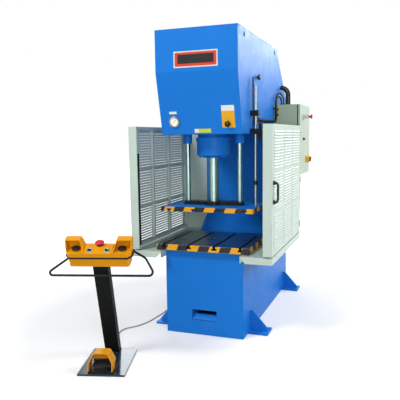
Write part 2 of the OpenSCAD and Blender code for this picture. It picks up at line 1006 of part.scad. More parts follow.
module gauge_needle() {
  color("black")
    on_slope(gauge_pos) {
      translate([0, 0, -4])
        cylinder(r = 1.5, h = 9, $fn = 32);
      translate([0, 0, 3.6])
        rotate([0, 0, -45])
          linear_extrude(0.8)
            polygon([[-1.8, -8], [1.8, -8], [1.2, 10], [0.3, 26], [-0.3, 26], [-1.2, 10]]);
    }
}

module gauge_lens() {
  color("lightcyan")
    on_slope(gauge_pos)
      translate([0, 0, 6.5])
        cylinder(r = gauge_r - 4 - seat_gap, h = 1.6, $fn = 64);
}

// Bare plates on the front cover: knob plate, header, name place and two strips
module front_plates() {
  color("gold") {
    on_slope(knob_pos)
      difference() {
        translate([-43, -28, 0])
          cube([93, 156, 1.5]);
        translate([0, 0, -1])
          cylinder(r = knob_shaft + run_gap, h = 4, $fn = round_fn);
      }
    on_slope(gauge_plate_pos)
      translate([-28, -9, 0])
        cube([56, 18, 1]);
    on_slope(strip_pos)
      translate([-62, -14, 0])
        cube([124, 28, 1]);
    span([-160, -head_front - 2, fold_height + 26], [160, -head_front, fold_height + 136]);
  }
}

module pressure_knob() {
  color("black")
    on_slope(knob_pos) {
      translate([0, 0, -14])
        cylinder(r = knob_shaft, h = 20, $fn = round_fn);
      translate([0, 0, 2.5])
        cylinder(r = 17, h = 22, $fn = round_fn);
      translate([0, 0, 24.5])
        cylinder(r1 = 17, r2 = 14, h = 4, $fn = round_fn);
    }
}

module piston_rod() {
  color("silver") {
    post([0, 0], yoke_top, piston_z, rod_d / 2);
    difference() {
      post([0, 0], piston_z, piston_z + piston_h, barrel_bore / 2 - run_gap);
      for (z = [20, 40, 60])
        translate([0, 0, piston_z + z - 2])
          difference() {
            cylinder(r = barrel_bore / 2 + 1, h = 4, $fn = round_fn);
            translate([0, 0, -1])
              cylinder(r = barrel_bore / 2 - 4, h = 6, $fn = round_fn);
          }
    }
  }
}

module ram_yoke() {
  color("black")
    difference() {
      union() {
        span([-column_x - 22, -38, platen_top], [column_x + 22, 38, yoke_top]);
        post([0, 0], platen_top, yoke_top, rod_d / 2 + 35);
      }
      for (s = [-1, 1])
        post([s * column_x, 0], platen_top - 1, yoke_top + 1, column_d / 2 + seat_gap);
    }
}

// T-slot outline, open at the underside
module platen_slot(x) {
  plane([x - tslot_mouth / 2, platen_bottom - 1], [x + tslot_mouth / 2, platen_bottom + pslot_depth + 1]);
  plane([x - tslot_base / 2, platen_bottom + pslot_depth],
    [x + tslot_base / 2, platen_bottom + pslot_depth + pslot_base_h]);
}

module ram_platen() {
  color("dodgerblue")
    along_y(-platen_d / 2, platen_d / 2)
      difference() {
        plane([-platen_w / 2, platen_bottom], [platen_w / 2, platen_top]);
        for (x = tslot_x)
          platen_slot(x);
      }
}

module platen_edge_tape() {
  color("gold") {
    along_y(-platen_d / 2 - tape_t, -platen_d / 2)
      difference() {
        plane([-platen_w / 2 - tape_t, platen_bottom + 1], [platen_w / 2 + tape_t, platen_top - 1]);
        for (x = tslot_x)
          platen_slot(x);
      }
    for (s = [-1, 1])
      translate([s * (platen_w / 2 + tape_t / 2), 0, 0])
        span([-tape_t / 2, -platen_d / 2 - tape_t, platen_bottom + 1],
          [tape_t / 2, platen_d / 2, platen_top - 1]);
  }
}

module guide_columns() {
  color("silver")
    for (s = [-1, 1])
      post([s * column_x, 0], platen_top, 1830, column_d / 2);
}

module limit_rod() {
  color("silver") {
    post([limit_x, limit_y], platen_top, limit_top, limit_d / 2);
    span([limit_x - 13 + body_gap, limit_y - 3, limit_top - 8], [limit_x, limit_y + 3, limit_top - 4]);
  }
}

module stop_collar() {
  color("black")
    difference() {
      union() {
        post([limit_x, limit_y], collar_z, collar_z + 30, limit_d / 2 + 10);
        translate([limit_x, limit_y, collar_z + 15])
          rotate([90, 0, 0])
            cylinder(r = 5, h = 26, $fn = 24);
      }
      post([limit_x, limit_y], collar_z - 1, collar_z + 31, limit_d / 2 + seat_gap);
    }
}

module pedestal_plate() {
  color("black")
    on_pedestal()
      span([0, 0, 0], [300, 420, plate_h]);
}

module pedestal_column() {
  color("dimgray")
    intersection() {
      on_console()
        difference() {
          span([-48, -30, -column_l - 60], [48, 30, 0]);
          span([-44, -26, -column_l - 61], [44, 26, 1]);
          translate([0, 20, 44 - column_l])
            rotate([-90, 0, 0])
              cylinder(r = cable_r + 1, h = 20, $fn = 24);
        }
      on_pedestal()
        span([-100, -100, plate_h], [500, 600, 1200]);
    }
}

// Console profile in width and height, drawn out front to back
// Plan of the console, with its front corners cut off
function console_plan(h, d, cut) = [
  [-h, cut[1] - d],
  [cut[0] - h, -d],
  [h - cut[0], -d],
  [h, cut[1] - d],
  [h, d],
  [-h, d]];

module console_run(v0, v1) {
  along_y(v0, v1)
    children();
}

module console_block(plan, w0, w1) {
  translate([0, 0, w0])
    linear_extrude(w1 - w0)
      polygon(plan);
}

module console_lower_shell() {
  d = console_d - 6;
  cut = [10, 14];
  color("orange")
    on_console()
      difference() {
        console_block(console_plan(tub_half, d, cut), 0, tub_h);
        console_block(console_plan(tub_half - 4, d - 4, cut), 5, tub_h + 1);
        span([-30, -20, -1], [30, 20, 6]);
      }
}

// Black flange between the shells, with the bent rail welded to its ends
module console_rail() {
  r = rail_d / 2;
  d = rail_drop - rail_start;
  low = norm(d);
  tilt = atan2(d[1], d[0]);
  u = console_half;
  rail = [[-tub_half - 4.4, 57], [-u - 134, low], [u + 141, low], [u + 78, 44], [u + 5, 2]];
  color("black")
    on_console() {
      difference() {
        console_block(console_plan(u + 7, console_d + 2, console_cut), tub_h, shell_z);
        span([-u + 40, -38, tub_h - 1], [u - 40, 38, shell_z + 1]);
      }
      // foot of the rail on the end of the lower shell
      span([-tub_half - 4, -8, 4], [-tub_half, 18, 28]);
      translate([0, rail_start[0], rail_start[1]])
        rotate([tilt, 0, 0])
          swept_tube([for (q = bent(rail, [0, 24, 24, 55, 0])) [q[0], q[1], 0]], r, 12, [0, 0, 1]);
    }
}

module console_upper_shell() {
  color("orange")
    difference() {
      on_console()
        hooded_shell();
      for (s = [-1, 1])
        on_deck(s * push_u)
          translate([0, 0, -20])
            cylinder(r = push_r + run_gap, h = 40, $fn = round_fn);
    }
}

module hooded_shell() {
  u = console_half - 4;
  d = console_d;
  t = hood_top;
  difference() {
    union() {
      intersection() {
        console_run(-d, d)
          polygon([[-u, shell_z], [u, shell_z], [u + 8, t], [115, t], [86, deck_z - 4], [-86, deck_z - 4],
            [-115, t], [-u - 8, t]]);
        console_block(console_plan(u + 8, d, console_cut), shell_z - 1, t + 1);
      }
      along_x(-88, 88)
        polygon([[-d, shell_z], [d, shell_z], [d, deck_ridge - 3], [12, deck_ridge], [-d, deck_front]]);
      post([0, stop_v], 100, boss_top, 20);
    }
    for (s = [0, 1])
      mirror([s, 0, 0]) {
        console_run(-d - 1, d - 8)
          polygon([[95, deck_z], [119, t - 6], [u + 2, t - 6], [u - 5, deck_z]]);
        // swept front of the hood, from its roof down to the deck
        along_x(84, u + 10)
          polygon([
            [-d - 1, deck_z + 5],
            [6 - d, deck_z + 7],
            [20 - d, deck_z + 16],
            [36 - d, deck_z + 32],
            [48 - d, t - 14],
            [58 - d, t + 1],
            [-d - 1, t + 1]
          ]);
        post([palm_u, -4], shell_z, deck_z + 10, palm_r + run_gap);
      }
    intersection() {
      console_run(4 - d, d - 4)
        polygon([[4 - u, shell_z - 1], [u - 4, shell_z - 1], [u - 4, deck_z - 7], [4 - u, deck_z - 7]]);
      console_block(console_plan(u - 4, d - 4, console_cut), shell_z - 2, deck_z);
    }
    along_x(-74, 74)
      polygon([
        [4 - d, shell_z + 10],
        [d - 4, shell_z + 10],
        [d - 4, deck_ridge - 10],
        [12, deck_ridge - 7],
        [4 - d, deck_front - 6]
      ]);
    post([0, stop_v], 80, boss_top + 1, stop_r + run_gap);
  }
}

module palm_button(s) {
  color("black")
    on_console()
      translate([s * palm_u, -4, 0]) {
        post([0, 0], deck_z - 14, deck_z + 8, palm_r);
        post([0, 0], deck_z + 7, deck_z + 13, 27);
        translate([0, 0, deck_z + 13])
          cylinder(r1 = 27, r2 = 20, h = 5, $fn = round_fn);
      }
}

module left_palm_button() {
  palm_button(-1);
}

module right_palm_button() {
  palm_button(1);
}

module console_stop_button() {
  color("red")
    on_console()
      translate([0, stop_v, boss_top]) {
        post([0, 0], -24, 8, stop_r);
        translate([0, 0, 5])
          cylinder(r1 = 24, r2 = 30, h = 6, $fn = round_fn);
        translate([0, 0, 11])
          cylinder(r1 = 30, r2 = 20, h = 9, $fn = round_fn);
      }
}

module push_button(s) {
  color("black")
    on_deck(s * push_u)
      translate([0, 0, -5])
        cylinder(r = push_r, h = 14, $fn = round_fn);
}

module left_push_button() {
  push_button(-1);
}

module right_push_button() {
  push_button(1);
}

module pedal_base() {
  z = plate_h;
  color("black")
    on_pedestal() {
      span([pedal_x - pedal_half, pedal_y0, z], [pedal_x + pedal_half, pedal_y1, z + 8]);
      for (s = [-1, 1])
        translate([pedal_x + s * 69, 0, 0])
          span([-3, pedal_pin[0] - 10, z + 7], [3, pedal_pin[0] + 10, pedal_pin[1] + 10]);
      translate([pedal_x - 72, pedal_pin[0], pedal_pin[1]])
        rotate([0, 90, 0])
          cylinder(r = pedal_pin_r, h = 144, $fn = round_fn);
    }
}

function arch(t, z0) = [
  [-pedal_half + t, z0],
  [-pedal_half + t, 64],
  [-43 + t * 0.6, pedal_top - t],
  [43 - t * 0.6, pedal_top - t],
  [pedal_half - t, 64],
  [pedal_half - t, z0]];

module pedal_hood() {
  color("orange")
    on_pedestal()
      translate([pedal_x, 0, 0])
        difference() {
          along_y(pedal_y0, pedal_y1)
            polygon(arch(0, plate_h + 8));
          along_y(pedal_y0 - 1, pedal_y1 - 5)
            polygon(arch(5, plate_h));
          along_x(-pedal_half - 1, pedal_half + 1)
            polygon([
              [pedal_y0 + 66, plate_h - 1],
              [pedal_y0 + 66, 52],
              [pedal_y1 - 28, 84],
              [pedal_y1 + 1, 92],
              [pedal_y1 + 1, plate_h - 1]
            ]);
        }
}

module pedal_treadle() {
  color("dimgray")
    on_pedestal()
      translate([pedal_x, 0, 0])
        difference() {
          union() {
            translate([-62, pedal_pin[0], pedal_pin[1]])
              rotate([0, 90, 0])
                cylinder(r = 9, h = 124, $fn = round_fn);
            along_x(-58, 58)
              polygon([[44, 42], [pedal_pin[0], 42], [pedal_pin[0], 58], [50, 54], [44, 50]]);
          }
          translate([-73, pedal_pin[0], pedal_pin[1]])
            rotate([0, 90, 0])
              cylinder(r = pedal_pin_r + run_gap, h = 146, $fn = round_fn);
        }
}

function pick(p, i) = p[max(0, min(len(p) - 1, i))];

// Catmull-Rom point between two route points
function smooth(p, i, t) =
  let (a = pick(p, i - 1), b = pick(p, i), c = pick(p, i + 1), d = pick(p, i + 2))
    0.5 * (2 * b + (c - a) * t + (2 * a - 5 * b + 4 * c - d) * t * t + (3 * b - a - 3 * c + d) * t * t * t);

function route(p, steps) = [
  for (i = [0 : len(p) - 2])
    for (s = [0 : steps - 1])
      smooth(p, i, s / steps),
  p[len(p) - 1]];

function ring(c, d, ref, r, n) =
  let (side = unit(cross(d, ref)), up = cross(side, d))
    [for (k = [0 : n - 1]) c + r * (cos(k * 360 / n) * side + sin(k * 360 / n) * up)];

// Tube along points; ref is a direction that the route never takes
module swept_tube(p, r, n, ref) {
  last = len(p) - 1;
  rings = [for (i = [0 : last]) ring(p[i], unit(pick(p, i + 1) - pick(p, i - 1)), ref, r, n)];
  points = [for (q = rings) for (v = q) v];
  sides = [
    for (i = [0 : last - 1])
      for (k = [0 : n - 1])
        [i * n + k, i * n + (k + 1) % n, (i + 1) * n + (k + 1) % n, (i + 1) * n + k]];
  caps = [[for (k = [n - 1 : -1 : 0]) k], [for (k = [0 : n - 1]) last * n + k]];
  polyhedron(points, concat(sides, caps));
}

module control_cable() {
  color("gray")
    swept_tube(route(cable_path, 4), cable_r, 10, [0, 0, 1]);
}

left_side_plate();
right_side_plate();
base_plates();
throat_web();
head_plate();
head_front_cover();
top_rear_cover();
anchor_feet();
bolster_table();
table_edge_tape();
cylinder_barrel();
cylinder_gland();
guide_bushes();
oil_tank();
power_unit();
limit_switch_bracket();
guard_trays();
rear_guard_panels();
guard_hinges();
cabinet_body();
cabinet_gasket();
cabinet_panel();
conduits();
gauge_case();
gauge_dial();
gauge_lens();
front_plates();
pedestal_plate();
pedestal_column();
console_lower_shell();
console_rail();
console_upper_shell();
pedal_base();
pedal_hood();
control_cable();
piston_rod();
ram_yoke();
ram_platen();
platen_edge_tape();
guide_columns();
limit_rod();
stop_collar();
right_door_panel();
right_door_frame();
right_door_handle();
left_door_panel();
left_door_frame();
left_door_strip();
cabinet_door();
main_switch_plate();
main_switch_handle();
cabinet_stop_button();
gauge_needle();
pressure_knob();
left_palm_button();
right_palm_button();
console_stop_button();
left_push_button();
right_push_button();
pedal_treadle();
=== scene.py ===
"""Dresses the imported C-frame hydraulic press: camera, light, finishes and fine pieces, all in metres."""
import json
import math

import bmesh
import bpy
import numpy as np
from mathutils import Matrix


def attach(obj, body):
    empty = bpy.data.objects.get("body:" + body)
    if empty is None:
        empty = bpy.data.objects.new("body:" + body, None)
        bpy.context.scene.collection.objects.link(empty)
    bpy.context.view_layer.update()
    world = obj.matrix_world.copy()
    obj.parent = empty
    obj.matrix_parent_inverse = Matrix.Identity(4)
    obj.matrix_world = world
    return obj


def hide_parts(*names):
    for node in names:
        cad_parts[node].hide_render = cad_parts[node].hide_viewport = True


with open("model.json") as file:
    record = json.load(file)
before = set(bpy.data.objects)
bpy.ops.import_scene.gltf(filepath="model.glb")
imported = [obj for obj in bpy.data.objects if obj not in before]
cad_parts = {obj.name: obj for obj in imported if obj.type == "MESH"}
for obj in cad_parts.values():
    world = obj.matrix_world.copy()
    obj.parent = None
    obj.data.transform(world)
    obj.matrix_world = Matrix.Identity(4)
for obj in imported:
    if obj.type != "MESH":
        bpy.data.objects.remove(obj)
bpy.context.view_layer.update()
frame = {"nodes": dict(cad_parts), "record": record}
nodes = frame["nodes"]
scene = bpy.context.scene
scene.view_settings.view_transform = "Standard"


# Places: 4 x 4 arrays that carry a piece's own axes into the shared frame.

def shifted(x, y, z):
    """Move by (x, y, z)."""
    place = np.eye(4)
    place[:3, 3] = x, y, z
    return place


def turned_by(degrees, axis):
    """Turn about X, Y or Z, right-handed."""
    return np.array(Matrix.Rotation(math.radians(degrees), 4, axis))


LEAN, TURN, COLUMN = 19.8, 15.9, 0.72
COLUMN_X, COLUMN_Y, FLOOR_PLATE = 0.142, 0.387, 0.012
PEDESTAL = shifted(-0.519, -1.165, 0) @ turned_by(TURN, "Z")
CONSOLE = PEDESTAL @ shifted(COLUMN_X, COLUMN_Y, FLOOR_PLATE) @ turned_by(LEAN, "X") @ shifted(0, 0, COLUMN)
CONSOLE_D, DECK_FRONT, DECK_SLOPE = 0.052, 0.097, 15.4
DECK_RISE = math.tan(math.radians(DECK_SLOPE))
BOSS_TOP = DECK_FRONT + (CONSOLE_D + 0.012) * DECK_RISE + 0.0054
COVER_SLOPE = math.degrees(math.atan2(0.102, 0.428))
COVER_FRONT, HEAD_BOTTOM, FOLD = -0.264, 1.486, 1.914


def on_cover(x, z):
    """A place on the sloped front cover, with Z along its outward normal."""
    y = COVER_FRONT - (z - HEAD_BOTTOM) * math.tan(math.radians(COVER_SLOPE))
    return shifted(x, y, z) @ turned_by(90 + COVER_SLOPE, "X")


def on_deck(u):
    """A place on the console's sloped deck, with Z along its normal."""
    v = -0.025
    return CONSOLE @ shifted(u, v, DECK_FRONT + (CONSOLE_D + v) * DECK_RISE) @ turned_by(DECK_SLOPE, "X")


def facing(direction):
    """Turn that carries Z into +X or -X."""
    return turned_by(90 if direction > 0 else -90, "Y")


# Shapes: (points, four-sided faces, end rings), worked out on whole arrays.

def over_grid(grid, wrap_rows=False, wrap_columns=False, ends=False):
    """Face (i, j) joins points (i, j), (i, j+1), (i+1, j+1), (i+1, j); a wrapped direction runs round."""
    n, m = grid.shape[:2]
    row = np.arange(n if wrap_rows else n - 1)[:, None]
    column = np.arange(m if wrap_columns else m - 1)[None, :]
    below, right = (row + 1) % n, (column + 1) % m
    faces = np.stack(
        np.broadcast_arrays(row * m + column, row * m + right, below * m + right, below * m + column), -1
    )
    rings = [np.arange(m), np.arange(m) + (n - 1) * m] if ends else []
    return grid.reshape(-1, 3), faces.reshape(-1, 4), rings


def turned(profile, steps=48, lobes=0, depth=0.0, ring=False):
    """Turned surface (r cos a, r sin a, h) from (r, h) pairs; lobes add depth * cos(lobes * a) to r.

    A ring's last pair joins its first; any other profile is capped at both ends.
    """
    r, h = np.array(profile, float).T[:, :, None]
    a = np.linspace(0, 2 * np.pi, steps, endpoint=False)[None, :]
    r = r + depth * np.cos(lobes * a) * (r > 0)
    grid = np.stack([r * np.cos(a), r * np.sin(a), h + 0 * a], -1)
    return over_grid(grid, wrap_rows=ring, wrap_columns=True, ends=not ring)


def across(path, reference):
    """Unit vectors across a path: s = unit(t x reference) and n = s x t, with t along the path."""
    t = np.gradient(path, axis=0)
    t /= np.linalg.norm(t, axis=1, keepdims=True)
    s = np.cross(t, np.asarray(reference, float))
    s /= np.linalg.norm(s, axis=1, keepdims=True)
    return s[:, None], np.cross(s, t)[:, None]


def along(path, radius, reference, sides=16):
    """Circle carried along a path: p + r (cos a * s + sin a * n), with s and n across the path."""
    path = np.asarray(path, float)
    s, n = across(path, reference)
    a = np.linspace(0, 2 * np.pi, sides, endpoint=False)[None, :, None]
    r = np.broadcast_to(radius, len(path))[:, None, None]
    return over_grid(path[:, None] + r * (np.cos(a) * s + np.sin(a) * n), wrap_columns=True, ends=True)


def bar_along(path, outline, reference):
    """Closed outline (a, b) carried along a path: p + a * s + b * n, with s and n across the path."""
    path = np.asarray(path, float)
    s, n = across(path, reference)
    a, b = np.asarray(outline, float).T[:, None, :, None]
    return over_grid(path[:, None] + a * s + b * n, wrap_columns=True, ends=True)


def soft_box(low, high, radius, steps=3):
    """Box with round edges: (h - r) * signs + r * n at each corner, with n over an eighth of a ball."""
    low, high = np.array(low, float), np.array(high, float)
    quarter = np.linspace(0, np.pi / 2, steps + 1)
    a = (np.arange(4)[:, None] * np.pi / 2 + quarter).ravel()
    sx = np.repeat([1, -1, -1, 1], steps + 1)
    sy = np.repeat([1, 1, -1, -1], steps + 1)
    e = np.concatenate([quarter[::-1], -quarter])[:, None]
    sz = np.repeat([1, -1], steps + 1)[:, None]
    n = np.stack(np.broadcast_arrays(np.cos(e) * np.cos(a), np.cos(e) * np.sin(a), np.sin(e)), -1)
    signs = np.stack(np.broadcast_arrays(sx[None, :], sy[None, :], sz), -1)
    grid = (low + high) / 2 + signs * ((high - low) / 2 - radius) + radius * n
    return over_grid(grid, wrap_columns=True, ends=True)


def placed(shape, place):
    """The shape carried by a place."""
    points, faces, rings = shape
    return points @ place[:3, :3].T + place[:3, 3], faces, rings


def at_each(shape, places):
    """One copy of the shape at each place, as a list."""
    return [placed(shape, place) for place in places]


def rounded(corners, radii, steps=6):
    """Polyline whose inner corners are arcs of the given radii that meet both sides in a tangent."""
    corners = np.array(corners, float)
    out = [corners[:1]]
    for i, radius in enumerate(radii, 1):
        a = corners[i] - corners[i - 1]
        b = corners[i + 1] - corners[i]
        a, b = a / np.linalg.norm(a), b / np.linalg.norm(b)
        half = math.acos(np.clip(a @ b, -1, 1)) / 2
        bisector = (b - a) / max(np.linalg.norm(b - a), 1e-12)
        middle = corners[i] + bisector * radius / math.cos(half)
        t = np.linspace(-half, half, steps + 1)[:, None]
        tangent = (a + b) / np.linalg.norm(a + b)
        out.append(middle + radius * (np.sin(t) * tangent - np.cos(t) * bisector))
    return np.concatenate(out + [corners[-1:]])


def evenly(path, spacing):
    """The same path at points a set arc length apart."""
    path = np.asarray(path, float)
    length = np.concatenate([[0], np.cumsum(np.linalg.norm(np.diff(path, axis=0), axis=1))])
    at = np.linspace(0, length[-1], max(2, int(round(length[-1] / spacing)) + 1))
    return np.stack([np.interp(at, length, axis) for axis in path.T], -1)


def catmull_rom(points, steps):
    """Catmull-Rom curve: 0.5 (2b + (c-a)t + (2a-5b+4c-d)t2 + (3b-a-3c+d)t3) from b to c on each stretch."""
    p = np.array(points, float)
    p = np.concatenate([p[:1], p, p[-1:]])
    a, b, c, d = (p[i:len(p) - 3 + i, None] for i in range(4))
    t = np.linspace(0, 1, steps, endpoint=False)[None, :, None]
    square, cube = 2 * a - 5 * b + 4 * c - d, 3 * b - a - 3 * c + d
    curve = 0.5 * (2 * b + (c - a) * t + square * t**2 + cube * t**3)
    return np.concatenate([curve.reshape(-1, 3), p[-1:]])


def make_piece(name, shapes, finish, body, sharp=32.0):
    """One mesh object at the origin from shapes, with its seams merged and its faces turned outwards."""
    points, faces, base = [], [], 0
    for p, quads, rings in shapes:
        points.append(p)
        faces += (quads + base).tolist() + [(ring + base).tolist() for ring in rings]
        base += len(p)
    mesh = bpy.data.meshes.new(name)
    mesh.from_pydata(np.concatenate(points), [], faces)
    built = bmesh.new()
    built.from_mesh(mesh)
    bmesh.ops.remove_doubles(built, verts=built.verts, dist=1e-7)
    bmesh.ops.recalc_face_normals(built, faces=built.faces)
    built.to_mesh(mesh)
    built.free()
    mesh.polygons.foreach_set("use_smooth", np.ones(len(mesh.polygons), bool))
    mesh.set_sharp_from_angle(angle=math.radians(sharp))
    mesh.materials.append(finish)
    piece = bpy.data.objects.new(name, mesh)
    scene.collection.objects.link(piece)
    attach(piece, body)
    return piece


# Camera, floor and light.

def aim_camera():
    """Camera at the photograph's place: its columns right, up and back, from azimuth, pitch and roll."""
    azimuth, pitch, roll = np.radians([20.47, 7.37, -0.8])
    stand = [1.324, -3.924, 1.471]
    focal_px, picture_px = 544.0, 400
    level = np.array([np.cos(azimuth), np.sin(azimuth), 0])
    ahead = np.array([-np.sin(azimuth), np.cos(azimuth), 0])
    forward = np.cos(pitch) * ahead - np.sin(pitch) * np.array([0, 0, 1])
    upright = np.cross(level, forward)
    right = np.cos(roll) * level + np.sin(roll) * upright
    up = np.cos(roll) * upright - np.sin(roll) * level
    place = np.eye(4)
    place[:3] = np.stack([right, up, -forward, stand], 1)
    lens = bpy.data.cameras.new("studio_camera")
    lens.sensor_width = 36
    lens.lens = lens.sensor_width * focal_px / picture_px
    lens.shift_x, lens.shift_y = 0.008, 0.017
    camera = bpy.data.objects.new("studio_camera", lens)
    camera.matrix_world = Matrix(place.tolist())
    scene.collection.objects.link(camera)
    scene.camera = camera


def add(tree, kind, inputs=(), **settings):
    """A shader node with its settings, and with its inputs given as values or as sockets to link."""
    node = tree.nodes.new(kind)
    for key, value in settings.items():
        setattr(node, key, value)
    for key, value in dict(inputs).items():
        if isinstance(value, bpy.types.NodeSocket):
            tree.links.new(value, node.inputs[key])
        else:
            node.inputs[key].default_value = value
    return node


def calc(tree, operation, *values, clamp=False):
    """A Math node's result."""
    return add(tree, "ShaderNodeMath", enumerate(values), operation=operation, use_clamp=clamp).outputs[0]


def spread(tree, value, low, high, to_low=0.0, to_high=1.0):
    """A value carried from one range to another and held there."""
    inputs = {"Value": value, "From Min": low, "From Max": high, "To Min": to_low, "To Max": to_high}
    return add(tree, "ShaderNodeMapRange", inputs).outputs[0]


def mixed(tree, factor, a, b, blend="MIX"):
    """Two colours mixed by a factor."""
    node = add(tree, "ShaderNodeMix", {0: factor, 6: a, 7: b}, data_type="RGBA", blend_type=blend)
    return node.outputs[2]


def noise(tree, vector, scale, detail=3.0, roughness=0.55):
    """Noise over the surface, 0 to 1."""
    inputs = {"Vector": vector, "Scale": scale, "Detail": detail, "Roughness": roughness}
    return add(tree, "ShaderNodeTexNoise", inputs).outputs[0]


def grey(tree, value):
    """A grey of the given value."""
    return add(tree, "ShaderNodeCombineColor", {i: value for i in range(3)}).outputs[0]


def object_place(tree):
    """Object coordinates."""
    return add(tree, "ShaderNodeTexCoord").outputs["Object"]


def stretched(tree, x, y, z):
    """Object coordinates scaled on each axis."""
    return add(tree, "ShaderNodeMapping", {"Vector": object_place(tree), "Scale": (x, y, z)}).outputs[0]


def axes(tree):
    """Object coordinates as three values."""
    return add(tree, "ShaderNodeSeparateXYZ", {0: object_place(tree)}).outputs


def seen(tree):
    """1 for what the camera, a gloss or a glass sees, 0 for light falling on surfaces."""
    path = add(tree, "ShaderNodeLightPath").outputs
    gloss = calc(tree, "ADD", path["Is Glossy Ray"], path["Is Transmission Ray"])
    return calc(tree, "ADD", path["Is Camera Ray"], gloss, clamp=True)


def light_studio():
    """White surroundings, a pale floor that keeps the shadow near the object, and five soft lamps."""
    world = bpy.data.worlds.new("white_studio")
    scene.world = world
    world.use_nodes = True
    tree = world.node_tree
    tree.nodes.clear()
    strength = spread(tree, seen(tree), 0.0, 1.0, 0.21, 1.0)
    sky = add(tree, "ShaderNodeBackground", {"Color": (1, 1, 1, 1), "Strength": strength})
    tree.links.new(sky.outputs[0], add(tree, "ShaderNodeOutputWorld").inputs[0])

    pale = bpy.data.materials.new("pale_floor")
    pale.use_nodes = True
    tree = pale.node_tree
    tree.nodes.clear()
    white = spread(tree, seen(tree), 0.0, 1.0, 0.50, 0.80)
    chalk = add(tree, "ShaderNodeBsdfDiffuse", {"Color": grey(tree, white)})
    away = add(tree, "ShaderNodeVectorMath", {0: object_place(tree)}, operation="LENGTH").outputs["Value"]
    strength = calc(tree, "MULTIPLY", seen(tree), spread(tree, away, 1.4, 3.4, 0.24, 1.0))
    glow = add(tree, "ShaderNodeEmission", {"Color": (1, 1, 1, 1), "Strength": strength})
    both = add(tree, "ShaderNodeAddShader", {0: chalk.outputs[0], 1: glow.outputs[0]})
    tree.links.new(both.outputs[0], add(tree, "ShaderNodeOutputMaterial").inputs[0])
    side = np.array([-30.0, 30.0])
    grid = np.stack(np.broadcast_arrays(side[None, :], side[:, None], -0.0006), -1)
    mesh = bpy.data.meshes.new("studio_floor")
    points, faces, _ = over_grid(grid)
    mesh.from_pydata(points, [], faces.tolist())
    mesh.materials.append(pale)
    floor = bpy.data.objects.new("studio_floor", mesh)
    scene.collection.objects.link(floor)

    lamps = {
        "key_lamp": ((-2.2, -4.2, 5.4), (0.0, 0.0, 1.1), 1.6, 215),
        "front_lamp": ((2.0, -5.3, 1.9), (-0.2, 0.2, 0.9), 2.4, 110),
        "side_lamp": ((4.8, 0.8, 3.4), (0.4, 0.3, 1.2), 2.6, 165),
        "panel_lamp": ((1.9, 5.8, 3.7), (0.3, 0.0, 2.0), 2.2, 125),
        "rear_lamp": ((-2.6, 5.5, 3.3), (0.0, 0.4, 1.2), 3.4, 120),
    }
    for name, (place, target, size, power) in lamps.items():
        lamp = bpy.data.lights.new(name, "AREA")
        lamp.shape, lamp.size, lamp.energy = "DISK", size, power
        lamp.color = (0.86, 0.93, 1.0) if name == "rear_lamp" else (1.0, 1.0, 1.0)
        back = np.array(place) - target
        back /= np.linalg.norm(back)
        right = np.cross([0, 0, 1], back)
        right /= np.linalg.norm(right)
        turn = np.eye(4)
        turn[:3] = np.stack([right, np.cross(back, right), back, place], 1)
        holder = bpy.data.objects.new(name, lamp)
        holder.matrix_world = Matrix(turn.tolist())
        holder.visible_camera = False
        scene.collection.objects.link(holder)


# Shared effects, as shader node groups.

def effect(name, inputs, outputs, build):
    """A node group with named sockets; build links its inside."""
    group = bpy.data.node_groups.new(name, "ShaderNodeTree")
    for label, default in inputs.items():
        kind = "NodeSocketFloat" if isinstance(default, float) else "NodeSocketColor"
        group.interface.new_socket(label, in_out="INPUT", socket_type=kind).default_value = default
    for label, kind in outputs.items():
        group.interface.new_socket(label, in_out="OUTPUT", socket_type=kind)
    build(group, group.nodes.new("NodeGroupInput").outputs, group.nodes.new("NodeGroupOutput").inputs)
    return group


COLOUR, VALUE = "NodeSocketColor", "NodeSocketFloat"


def paint_film(tree, given, out):
    """Sprayed paint: slow changes of tone, a fine peel, and dust that gathers low on the machine."""
    where = object_place(tree)
    tone = spread(tree, noise(tree, where, 2.3, 4.0), 0.3, 0.7, -1.0, 1.0)
    light = calc(tree, "MULTIPLY_ADD", tone, given["Tone"], 1.0)
    shaded = mixed(tree, 1.0, given["Paint"], grey(tree, light), "MULTIPLY")
    low = spread(tree, axes(tree)["Z"], 0.0, 0.35, 1.0, 0.0)
    specks = spread(tree, noise(tree, where, 38.0, 5.0, 0.7), 0.52, 0.78)
    specks = calc(tree, "MULTIPLY", specks, given["Dust"])
    dust = calc(tree, "MULTIPLY", calc(tree, "MULTIPLY_ADD", low, 0.5, 0.22), specks)
    tree.links.new(mixed(tree, dust, shaded, (0.36, 0.34, 0.30, 1)), out["Color"])
    smudge = spread(tree, noise(tree, where, 11.0, 5.0, 0.65), 0.35, 0.72, -0.05, 0.09)
    rough = calc(tree, "MULTIPLY_ADD", dust, 0.5, calc(tree, "ADD", given["Gloss"], smudge), clamp=True)
    tree.links.new(rough, out["Roughness"])
    tree.links.new(noise(tree, where, 420.0, 2.0, 0.4), out["Height"])


def edge_wear_and_highlight(tree, given, out):
    """Painted edge highlight and wear: a mask where a rounded normal leaves the flat one, broken up by
    noise; gives that normal too.
    """
    soft = add(tree, "ShaderNodeBevel", {"Radius": given["Radius"]}, samples=4).outputs[0]
    flat = add(tree, "ShaderNodeNewGeometry").outputs["Normal"]
    same = add(tree, "ShaderNodeVectorMath", {0: soft, 1: flat}, operation="DOT_PRODUCT").outputs["Value"]
    edge = spread(tree, same, 0.995, 0.90)
    patch = spread(tree, noise(tree, object_place(tree), 24.0, 6.0, 0.75), 0.50, 0.64)
    wear_and_highlight = calc(tree, "MULTIPLY", edge, patch)
    tree.links.new(calc(tree, "MULTIPLY", wear_and_highlight, given["Amount"]), out["Mask"])
    tree.links.new(soft, out["Normal"])


